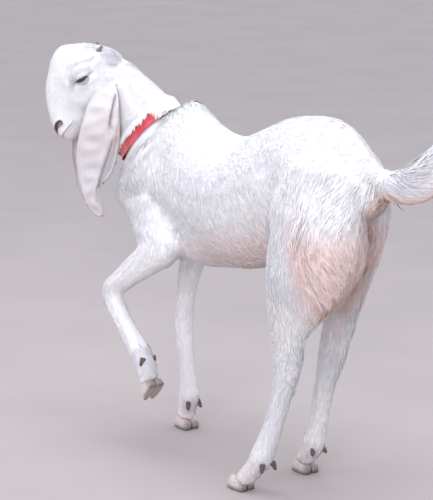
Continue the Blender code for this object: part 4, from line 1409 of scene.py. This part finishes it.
class Nodes:
    """Short ways to lay out a material's nodes."""

    def __init__(self, name):
        self.material = bpy.data.materials.new(name)
        self.material.use_nodes = True
        self.tree = self.material.node_tree
        self.shader = self.tree.nodes["Principled BSDF"]

    def link(self, source, target):
        self.tree.links.new(source, target)

    def set(self, node, **inputs):
        for name, value in inputs.items():
            socket = node.inputs[name.replace("_", " ")]
            if isinstance(value, bpy.types.NodeSocket):
                self.link(value, socket)
            else:
                socket.default_value = value
        return node

    def attribute(self, name):
        node = self.tree.nodes.new("ShaderNodeAttribute")
        node.attribute_name = name
        return node.outputs["Fac"]

    def where(self):
        return self.tree.nodes.new("ShaderNodeTexCoord").outputs["Object"]

    def noise(self, scale, detail=3.0, roughness=0.5, vector=None):
        node = self.tree.nodes.new("ShaderNodeTexNoise")
        self.set(node, Scale=scale, Detail=detail, Roughness=roughness)
        self.link(vector or self.where(), node.inputs["Vector"])
        return node.outputs["Fac"]

    def wave(self, scale, direction="Z", distortion=0.0, vector=None):
        node = self.tree.nodes.new("ShaderNodeTexWave")
        node.bands_direction = direction
        self.set(node, Scale=scale, Distortion=distortion)
        self.link(vector or self.where(), node.inputs["Vector"])
        return node.outputs["Fac"]

    def math(self, kind, first, second=0.0):
        node = self.tree.nodes.new("ShaderNodeMath")
        node.operation = kind
        for socket, value in zip(node.inputs, (first, second)):
            if isinstance(value, bpy.types.NodeSocket):
                self.link(value, socket)
            else:
                socket.default_value = value
        return node.outputs[0]

    def ramp(self, value, low, high):
        node = self.tree.nodes.new("ShaderNodeMapRange")
        self.set(node, Value=value, From_Min=low, From_Max=high)
        return node.outputs["Result"]

    def mix(self, share, first, second, kind="MIX"):
        node = self.tree.nodes.new("ShaderNodeMix")
        node.data_type = "RGBA"
        node.blend_type = kind
        for socket, value in ((node.inputs[0], share), (node.inputs[6], first), (node.inputs[7], second)):
            if isinstance(value, bpy.types.NodeSocket):
                self.link(value, socket)
            else:
                socket.default_value = (*value, 1.0) if isinstance(value, (tuple, list)) else value
        return node.outputs[2]

    def bump(self, height, strength, distance):
        node = self.tree.nodes.new("ShaderNodeBump")
        self.set(node, Height=height, Strength=strength, Distance=distance)
        self.link(node.outputs["Normal"], self.shader.inputs["Normal"])


def hair_colour(nodes, settings):
    """The coat's colour with its markings, the same on skin and hair."""
    patches = nodes.ramp(nodes.noise(9.0, 3.0), 0.42, 0.66)
    colour = nodes.mix(patches, tuple(settings.white), tuple(settings.cool_white))
    streaks = nodes.ramp(nodes.noise(70.0, 4.0, 0.6), 0.35, 0.70)
    broken = nodes.math("ADD", 0.62, nodes.math("MULTIPLY", streaks, 0.45))
    rosy = nodes.math("MULTIPLY", nodes.attribute("rosy"), broken)
    colour = nodes.mix(rosy, colour, tuple(settings.rosy))
    broken = nodes.math("ADD", 0.45, nodes.math("MULTIPLY", streaks, 0.6))
    stain = nodes.math("MULTIPLY", nodes.attribute("stain"), broken)
    return nodes.mix(stain, colour, tuple(settings.tan))


def skin_material(skin_settings, coat_settings):
    nodes = Nodes("goat_skin")
    colour = hair_colour(nodes, coat_settings)
    bare = nodes.math("MULTIPLY", nodes.attribute("rosy"), 0.30)
    colour = nodes.mix(bare, colour, tuple(skin_settings.flesh_colour))
    # Lid rims and painted shade in the skin's colour, from the dark share
    colour = nodes.mix(nodes.attribute("rims_and_painted_shade"), colour, tuple(skin_settings.rim_and_shade_colour))
    nodes.set(nodes.shader, Base_Color=colour, Roughness=0.62)
    nodes.shader.inputs["Sheen Weight"].default_value = 0.25
    nodes.shader.inputs["Sheen Roughness"].default_value = 0.5
    fine = nodes.noise(420.0, 4.0, 0.65)
    coarse = nodes.noise(90.0, 3.0)
    nodes.bump(nodes.math("ADD", fine, nodes.math("MULTIPLY", coarse, 0.6)), 0.5, 0.0010)
    return nodes.material


def coat_material(settings):
    nodes = Nodes("goat_coat")
    colour = hair_colour(nodes, settings)
    shade = nodes.math("ADD", 0.86, nodes.math("MULTIPLY", nodes.attribute("tone"), 0.17))
    # Painted shade: each tuft darker toward its root, darkening the gaps between tufts and locks
    root = nodes.math("ADD", 0.92, nodes.math("MULTIPLY", nodes.attribute("along"), 0.08))
    value = nodes.tree.nodes.new("ShaderNodeCombineColor")
    level = nodes.math("MULTIPLY", shade, root)
    nodes.set(value, Red=level, Green=level, Blue=level)
    colour = nodes.mix(1.0, colour, value.outputs[0], "MULTIPLY")
    # Lid rims and painted shade carried over from the skin
    rims_and_painted_shade = nodes.math("MULTIPLY", nodes.attribute("rims_and_painted_shade"), 0.55)
    colour = nodes.mix(rims_and_painted_shade, colour, (0.20, 0.15, 0.14))
    nodes.set(nodes.shader, Base_Color=colour, Roughness=0.58)
    nodes.shader.inputs["Sheen Weight"].default_value = 0.20
    nodes.shader.inputs["Sheen Roughness"].default_value = 0.45
    fine = nodes.noise(900.0, 2.0, 0.6)
    nodes.bump(fine, 0.25, 0.0004)
    return nodes.material


def eye_material(settings):
    """Amber iris with a level slot of a pupil, under a wet surface.

    Local X runs along the slit, Z looks out.
    """
    nodes = Nodes("goat_eye")
    parts = nodes.tree.nodes.new("ShaderNodeSeparateXYZ")
    nodes.link(nodes.where(), parts.inputs[0])
    radius = settings.eye_radius
    x = nodes.math("DIVIDE", parts.outputs[0], radius)
    y = nodes.math("DIVIDE", parts.outputs[1], radius)
    out = nodes.math("SQRT", nodes.math("ADD", nodes.math("MULTIPLY", x, x), nodes.math("MULTIPLY", y, y)))
    streaks = nodes.noise(1100.0, 4.0, 0.7)
    iris = nodes.mix(streaks, tuple(settings.iris_colour), tuple(0.35 * c for c in settings.iris_colour))
    rim = nodes.ramp(out, 0.50, 0.62)
    iris = nodes.mix(rim, iris, (0.035, 0.020, 0.015))
    white = nodes.ramp(out, 0.72, 0.86)
    colour = nodes.mix(white, iris, (0.34, 0.24, 0.22))
    slot = nodes.math("MAXIMUM", nodes.math("DIVIDE", nodes.math("ABSOLUTE", x), 0.42),
                      nodes.math("DIVIDE", nodes.math("ABSOLUTE", y), 0.15))
    pupil = nodes.ramp(slot, 1.08, 0.95)
    colour = nodes.mix(pupil, colour, (0.004, 0.004, 0.006))
    nodes.set(nodes.shader, Base_Color=colour, Roughness=0.16)
    nodes.shader.inputs["Coat Weight"].default_value = 0.8
    nodes.shader.inputs["Coat Roughness"].default_value = 0.04
    nodes.bump(nodes.noise(300.0, 2.0), 0.05, 0.0002)
    return nodes.material


def claw_material(settings):
    """Hoof wall with growth rings and a dark heel. Local X points to the toe, Z up."""
    nodes = Nodes("goat_claw")
    parts = nodes.tree.nodes.new("ShaderNodeSeparateXYZ")
    nodes.link(nodes.where(), parts.inputs[0])
    streaks = nodes.noise(130.0, 5.0, 0.65)
    wall = nodes.mix(nodes.ramp(streaks, 0.35, 0.70), tuple(settings.hoof_colour),
                     tuple(0.62 * c for c in settings.hoof_colour))
    forward = nodes.math("ADD", parts.outputs[0], nodes.math("MULTIPLY", streaks, 0.020))
    heel = nodes.ramp(forward, -0.002, -0.016)
    colour = nodes.mix(nodes.math("MULTIPLY", heel, 0.70), wall, tuple(settings.heel_colour))
    sole = nodes.ramp(parts.outputs[2], 0.0110, 0.0025)
    colour = nodes.mix(nodes.math("MULTIPLY", sole, 0.85), colour, tuple(settings.heel_colour))
    nodes.set(nodes.shader, Base_Color=colour, Roughness=nodes.ramp(streaks, 0.0, 1.6))
    rings = nodes.wave(95.0, "Z", 2.0)
    nodes.bump(nodes.math("ADD", rings, nodes.noise(600.0, 3.0)), 0.55, 0.0007)
    return nodes.material


def horny_material(name, colour, ring_scale):
    nodes = Nodes(name)
    streaks = nodes.noise(220.0, 5.0, 0.7)
    pale = tuple(min(1.0, 2.1 * c) for c in colour)
    mixed = nodes.mix(nodes.ramp(streaks, 0.35, 0.70), tuple(colour), pale)
    nodes.set(nodes.shader, Base_Color=mixed, Roughness=nodes.ramp(streaks, -0.6, 1.2))
    rings = nodes.wave(ring_scale, "Z", 3.0)
    nodes.bump(nodes.math("ADD", rings, nodes.noise(700.0, 3.0)), 0.6, 0.0006)
    return nodes.material


def webbing_material(settings):
    """Woven band: ribs across, from the band's own map."""
    nodes = Nodes("collar_webbing")
    place = nodes.tree.nodes.new("ShaderNodeUVMap")
    place.uv_map = "weave"
    parts = nodes.tree.nodes.new("ShaderNodeSeparateXYZ")
    nodes.link(place.outputs[0], parts.inputs[0])
    warp = nodes.math("SINE", nodes.math("MULTIPLY", parts.outputs[0], 2.0 * math.pi / 0.0016))
    weft = nodes.math("SINE", nodes.math("MULTIPLY", parts.outputs[1], 2.0 * math.pi / 0.0022))
    weave = nodes.math("MULTIPLY", warp, weft)
    height = nodes.ramp(weave, -1.0, 1.0)
    worn = nodes.noise(60.0, 5.0, 0.6)
    dye = tuple(settings.collar_colour)
    colour = nodes.mix(nodes.ramp(worn, 0.40, 0.68), dye, (0.80, 0.16, 0.17))
    # Painted shade in the low places of the weave
    between = nodes.math("MULTIPLY", nodes.ramp(height, 0.45, 0.0), 0.55)
    colour = nodes.mix(between, colour, tuple(0.45 * c for c in dye))
    nodes.set(nodes.shader, Base_Color=colour, Roughness=0.72)
    nodes.shader.inputs["Sheen Weight"].default_value = 0.3
    nodes.bump(nodes.math("ADD", height, nodes.math("MULTIPLY", nodes.noise(1500.0, 2.0), 0.35)), 0.7, 0.0006)
    return nodes.material


# ---------------------------------------------------------------- eyes, claws, horns, collar

def make_eyeball(side, settings):
    """Eyeball with a bulging cornea, its own Z looking out."""
    shape = bmesh.new()
    bmesh.ops.create_uvsphere(shape, u_segments=64, v_segments=40, radius=settings.eye_radius)
    for vertex in shape.verts:
        out = math.hypot(vertex.co.x, vertex.co.y) / settings.eye_radius
        if vertex.co.z > 0.0 and out < 0.68:
            vertex.co *= 1.0 + 0.055 * (1.0 - (out / 0.68) ** 2)
    mesh = bpy.data.meshes.new("eyeball")
    shape.to_mesh(mesh)
    shape.free()
    mesh.polygons.foreach_set("use_smooth", np.ones(len(mesh.polygons), bool))
    word = "left" if side > 0.0 else "right"
    eye = new_object("eyeball_" + word, mesh)
    axes = eye_axes(side)
    across = np.cross(axes[2], axes[0])
    turn = Matrix((axes[0], across, axes[2])).transposed().to_4x4()
    eye.matrix_world = Matrix.Translation(Vector(eye_centre(side))) @ turn
    mesh.materials.append(eye_material(settings))
    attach(eye, "root")
    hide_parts("eye_" + word)
    return eye


def make_lashes(skin, side):
    """A row of pale lashes along the upper lid."""
    axes, centre = eye_axes(side), eye_centre(side)
    rng = np.random.default_rng(7)
    count = 46
    angle = np.radians(np.linspace(-46.0, 40.0, count) + rng.normal(0.0, 0.8, count))
    rise = np.radians(LID_RISE * (1.0 - (np.degrees(angle) / LID_HALF_LENGTH) ** 2) + 2.5)
    out = np.stack((np.sin(angle) * np.cos(rise), np.sin(rise), np.cos(angle) * np.cos(rise)), axis=1) @ axes
    start = centre + out * 0.0158
    reach = unit(out * 1.0 + axes[1] * 0.1 - np.array(UP) * 0.35 + rng.normal(0.0, 0.08, (count, 3)))
    shares = np.linspace(0.0, 1.0, 4)
    length = rng.uniform(0.0055, 0.0085, count)
    spine = start[:, None] + reach[:, None] * length[:, None, None] * shares[None, :, None]
    spine += np.array(UP) * (0.0022 * shares ** 2)[None, :, None]
    roots = Roots(skin, Unwrap(skin.data, (2,)), (2,), count, 3)
    widths = np.full(count, 0.0006)[:, None] * (1.0 - shares ** 2)[None]
    normals = np.repeat(out[:, None], 4, axis=1)
    return tuft_piece("lashes_" + ("left" if side > 0.0 else "right"), roots, spine, widths, normals)


def rounded_copy(name, node, voxel, rounds, frame_axes, origin):
    """Finer copy of a CAD node, rounded, with its own axes and origin for its pattern."""
    made = new_object(name, nodes_as_one(name, (node,), 0.0))
    rebuilt(made, voxel)
    points = spread(places(made.data), edges_of(made.data), rounds)
    place = Matrix.Translation(origin) @ frame_axes.to_4x4()
    turn = np.array(frame_axes)
    put_places(made.data, (points - np.array(origin)) @ turn)
    made.data.polygons.foreach_set("use_smooth", np.ones(len(made.data.polygons), bool))
    made.matrix_world = place
    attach(made, "root")
    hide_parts(node)
    return made


def foot_axes(leg):
    """Axes of a foot: toe, left and up, tipped down on the raised leg."""
    low = middle("claw_inner_" + leg)
    toe = FORWARD.copy()
    axes = Matrix((toe, UP.cross(toe), UP)).transposed()
    if leg == "foreleg_left":
        axes = axes @ Matrix.Rotation(math.radians(52.0), 3, "Y")
    return axes, low


def make_claws(settings):
    material = claw_material(settings)
    for leg in LEGS:
        axes, _ = foot_axes(leg)
        for word in ("inner", "outer"):
            node = "claw_" + word + "_" + leg
            centre = middle(node)
            origin = centre - axes @ Vector((0.0, 0.0, 0.0138))
            claw = rounded_copy("hoof_" + word + "_" + leg, node, 0.0013, 3, axes, origin)
            claw.data.materials.append(material)


def make_dewclaws(settings):
    material = horny_material("goat_dewclaw", settings.heel_colour, 160.0)
    for leg in LEGS:
        axes, _ = foot_axes(leg)
        for word in ("inner", "outer"):
            node = "dewclaw_" + word + "_" + leg
            piece = rounded_copy("spur_" + word + "_" + leg, node, 0.0009, 16, axes, middle(node))
            piece.data.materials.append(material)


def make_horns(settings):
    material = horny_material("goat_horn", settings.horn_colour, 170.0)
    lean = Vector(head_turned(-0.93, -0.25, 0.0)).normalized()
    side = Vector(head_turned(0.0, 0.0, 1.0))
    axes = Matrix((side, lean.cross(side), lean)).transposed()
    for word in ("left", "right"):
        node = "horn_" + word
        horn = rounded_copy("bud_" + word, node, 0.0009, 5, axes, middle(node))
        horn.data.materials.append(material)


COLLAR_SIDES = 180
COLLAR_ACROSS = 13


def make_collar(settings):
    """Band of webbing that follows the outside of the collar node."""
    shape = node_shape("collar")
    tree = BVHTree.FromBMesh(shape)
    axis = along(*COLLAR_AXIS).normalized()
    spots = [vertex.co.dot(axis) for vertex in shape.verts]
    low, high = min(spots), max(spots)
    centre = middle("collar")
    shape.free()
    first = axis.orthogonal().normalized()
    second = axis.cross(first)
    band = 0.99 * (high - low)
    start = centre + axis * (0.5 * (low + high) - centre.dot(axis))
    radii = np.zeros((COLLAR_ACROSS, COLLAR_SIDES))
    for row in range(COLLAR_ACROSS):
        level = start + axis * (band * (row / (COLLAR_ACROSS - 1) - 0.5))
        for turn in range(COLLAR_SIDES):
            angle = 2.0 * math.pi * turn / COLLAR_SIDES
            ray = first * math.cos(angle) + second * math.sin(angle)
            far = level + ray * 0.3
            hit = tree.ray_cast(far, -ray)[0]
            radii[row, turn] = (hit - level).length if hit else np.nan
    column = np.nanmean(radii, axis=0)
    radii = np.where(np.isnan(radii), column[None], radii)
    for _ in range(10):
        radii = 0.5 * radii + 0.25 * (np.roll(radii, 1, axis=1) + np.roll(radii, -1, axis=1))
    for _ in range(3):
        radii[1:-1] = 0.5 * radii[1:-1] + 0.25 * (radii[:-2] + radii[2:])
    radii -= 0.0006
    shape = bmesh.new()
    weave = shape.loops.layers.uv.new("weave")
    grid = []
    for row in range(COLLAR_ACROSS):
        share = row / (COLLAR_ACROSS - 1)
        level = start + axis * (band * (share - 0.5))
        line = []
        for turn in range(COLLAR_SIDES):
            angle = 2.0 * math.pi * turn / COLLAR_SIDES
            ray = first * math.cos(angle) + second * math.sin(angle)
            edge = abs(2.0 * share - 1.0)
            hem = -0.0008 * edge ** 6 + 0.0005 * math.exp(-((edge - 0.8) / 0.07) ** 2)
            line.append(shape.verts.new(level + ray * (radii[row, turn] + hem)))
        grid.append(line)
    length = 2.0 * math.pi * float(radii.mean())
    for row in range(COLLAR_ACROSS - 1):
        for turn in range(COLLAR_SIDES):
            other = (turn + 1) % COLLAR_SIDES
            near, far = grid[row], grid[row + 1]
            face = shape.faces.new((near[turn], near[other], far[other], far[turn]))
            spans = ((turn, row), (turn + 1, row), (turn + 1, row + 1), (turn, row + 1))
            for loop, (across, up) in zip(face.loops, spans):
                loop[weave].uv = (length * across / COLLAR_SIDES, band * up / (COLLAR_ACROSS - 1))
    bmesh.ops.recalc_face_normals(shape, faces=shape.faces)
    mesh = bpy.data.meshes.new("collar_band")
    shape.to_mesh(mesh)
    shape.free()
    collar = new_object("collar_band", mesh)
    solid = collar.modifiers.new("thickness", "SOLIDIFY")
    solid.thickness = settings.collar_thickness
    solid.offset = -1.0
    rounding = collar.modifiers.new("round", "BEVEL")
    rounding.width = 0.0005
    rounding.segments = 2
    applied(collar)
    collar.data.polygons.foreach_set("use_smooth", np.ones(len(collar.data.polygons), bool))
    collar.data.materials.clear()
    collar.data.materials.append(webbing_material(settings))
    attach(collar, "root")
    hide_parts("collar")
    return collar


# ---------------------------------------------------------------- operators

class GOAT_OT_skin(bpy.types.Operator):
    """Build the skin over all flesh and both ears"""

    bl_idname = "goat.skin"
    bl_label = "Skin"

    def execute(self, context):
        settings = context.scene.goat_skin
        skin = make_skin(settings, context.scene.goat_parts.eye_radius)
        map_skin(skin)
        skin.data.materials.clear()
        skin.data.materials.append(skin_material(settings, context.scene.goat_coat))
        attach(skin, "root")
        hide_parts(*REGIONS)
        return {"FINISHED"}


class GOAT_OT_short_coat(bpy.types.Operator):
    """Grow the short hair over the skin"""

    bl_idname = "goat.short_coat"
    bl_label = "Short coat"

    def execute(self, context):
        settings = context.scene.goat_coat
        material = coat_material(settings)
        for piece in make_short_coat(bpy.data.objects["skin"], settings):
            piece.data.materials.append(material)
        return {"FINISHED"}


class GOAT_OT_locks(bpy.types.Operator):
    """Grow the long hair on thighs, tail, hocks, fetlocks, belly, poll and neck, and the lashes"""

    bl_idname = "goat.locks"
    bl_label = "Long hair"

    def execute(self, context):
        settings = context.scene.goat_coat
        skin = bpy.data.objects["skin"]
        material = bpy.data.materials.get("goat_coat") or coat_material(settings)
        pieces = make_locks(skin, settings)
        pieces += [make_lashes(skin, side) for side in (1.0, -1.0)]
        for piece in pieces:
            piece.data.materials.append(material)
        return {"FINISHED"}


class GOAT_OT_eyes(bpy.types.Operator):
    """Build both eyeballs"""

    bl_idname = "goat.eyes"
    bl_label = "Eyes"

    def execute(self, context):
        for side in (1.0, -1.0):
            make_eyeball(side, context.scene.goat_parts)
        return {"FINISHED"}


class GOAT_OT_claws(bpy.types.Operator):
    """Build the eight claws of the hooves"""

    bl_idname = "goat.claws"
    bl_label = "Hooves"

    def execute(self, context):
        make_claws(context.scene.goat_parts)
        return {"FINISHED"}


class GOAT_OT_dewclaws(bpy.types.Operator):
    """Build the eight dewclaws behind the fetlocks"""

    bl_idname = "goat.dewclaws"
    bl_label = "Dewclaws"

    def execute(self, context):
        make_dewclaws(context.scene.goat_parts)
        return {"FINISHED"}


class GOAT_OT_horns(bpy.types.Operator):
    """Build both horn buds"""

    bl_idname = "goat.horns"
    bl_label = "Horn buds"

    def execute(self, context):
        make_horns(context.scene.goat_parts)
        return {"FINISHED"}


class GOAT_OT_collar(bpy.types.Operator):
    """Build the webbing collar"""

    bl_idname = "goat.collar"
    bl_label = "Collar"

    def execute(self, context):
        make_collar(context.scene.goat_parts)
        return {"FINISHED"}


class GOAT_OT_stage(bpy.types.Operator):
    """Lay the floor and set up the lights and the camera"""

    bl_idname = "goat.stage"
    bl_label = "Stage"

    def execute(self, context):
        settings = context.scene.goat_stage
        add_floor(settings)
        add_lights(settings)
        add_camera(settings)
        return {"FINISHED"}


def add_floor(settings):
    shape = bmesh.new()
    bmesh.ops.create_grid(shape, x_segments=8, y_segments=8, size=30.0)
    mesh = bpy.data.meshes.new("floor")
    shape.to_mesh(mesh)
    shape.free()
    floor = new_object("floor", mesh)
    nodes = Nodes("studio_floor")
    cloud = nodes.noise(3.0, 5.0)
    colour = nodes.mix(nodes.ramp(cloud, 0.35, 0.65), tuple(settings.floor_colour),
                       tuple(0.94 * c for c in settings.floor_colour))
    nodes.set(nodes.shader, Base_Color=colour, Roughness=0.85)
    nodes.bump(nodes.noise(180.0, 4.0), 0.15, 0.001)
    mesh.materials.append(nodes.material)


def add_area(name, place, target, size, power, colour):
    data = bpy.data.lights.new(name, "AREA")
    data.shape = "DISK"
    data.size = size
    data.energy = power
    data.color = colour
    lamp = new_object(name, data)
    lamp.location = place
    lamp.rotation_euler = (Vector(target) - Vector(place)).to_track_quat("-Z", "Y").to_euler()


def add_lights(settings):
    world = bpy.data.worlds.new("studio")
    bpy.context.scene.world = world
    world.use_nodes = True
    background = world.node_tree.nodes["Background"]
    background.inputs["Color"].default_value = (*settings.sky_colour, 1.0)
    background.inputs["Strength"].default_value = settings.sky_strength
    target = at(-0.2, 0.0, 0.45)
    add_area("overhead", at(-0.35, 0.25, 3.2), target, 2.6, settings.key_power, (0.92, 0.95, 1.0))
    add_area("side", at(-2.4, 3.2, 1.9), target, 2.2, settings.fill_power, (0.93, 0.94, 1.0))


def add_camera(settings):
    data = bpy.data.cameras.new("camera")
    data.sensor_width = 36.0
    data.lens = settings.lens
    camera = new_object("camera", data)
    camera.location = at(*settings.camera_place)
    heading, tilt = settings.camera_heading, settings.camera_tilt
    level = FORWARD * math.cos(heading) - LEFT * math.sin(heading)
    view = level * math.cos(tilt) - UP * math.sin(tilt)
    camera.rotation_euler = view.to_track_quat("-Z", "Y").to_euler()
    bpy.context.scene.camera = camera


class GOAT_PT_panel(bpy.types.Panel):
    """Buttons for every step, in the order they are run."""

    bl_idname = "GOAT_PT_panel"
    bl_label = "Goat"
    bl_space_type = "VIEW_3D"
    bl_region_type = "UI"
    bl_category = "Goat"

    def draw(self, context):
        for step in STEPS:
            self.layout.operator(step.bl_idname)


STEPS = (
    GOAT_OT_skin, GOAT_OT_short_coat, GOAT_OT_locks, GOAT_OT_eyes, GOAT_OT_claws,
    GOAT_OT_dewclaws, GOAT_OT_horns, GOAT_OT_collar, GOAT_OT_stage,
)
SETTINGS = {
    "goat_skin": GoatSkinSettings,
    "goat_coat": GoatCoatSettings,
    "goat_parts": GoatPartSettings,
    "goat_stage": GoatStageSettings,
}


def register():
    for group in SETTINGS.values():
        bpy.utils.register_class(group)
    for name, group in SETTINGS.items():
        setattr(bpy.types.Scene, name, bpy.props.PointerProperty(type=group))
    for step in STEPS:
        bpy.utils.register_class(step)
    bpy.utils.register_class(GOAT_PT_panel)


def unregister():
    bpy.utils.unregister_class(GOAT_PT_panel)
    for step in reversed(STEPS):
        bpy.utils.unregister_class(step)
    for name in SETTINGS:
        delattr(bpy.types.Scene, name)
    for group in SETTINGS.values():
        bpy.utils.unregister_class(group)


def main():
    register()
    bpy.context.scene.view_settings.view_transform = "Standard"
    bpy.ops.goat.skin()
    bpy.ops.goat.short_coat()
    bpy.ops.goat.locks()
    bpy.ops.goat.eyes()
    bpy.ops.goat.claws()
    bpy.ops.goat.dewclaws()
    bpy.ops.goat.horns()
    bpy.ops.goat.collar()
    bpy.ops.goat.stage()


if __name__ == "__main__":
    main()
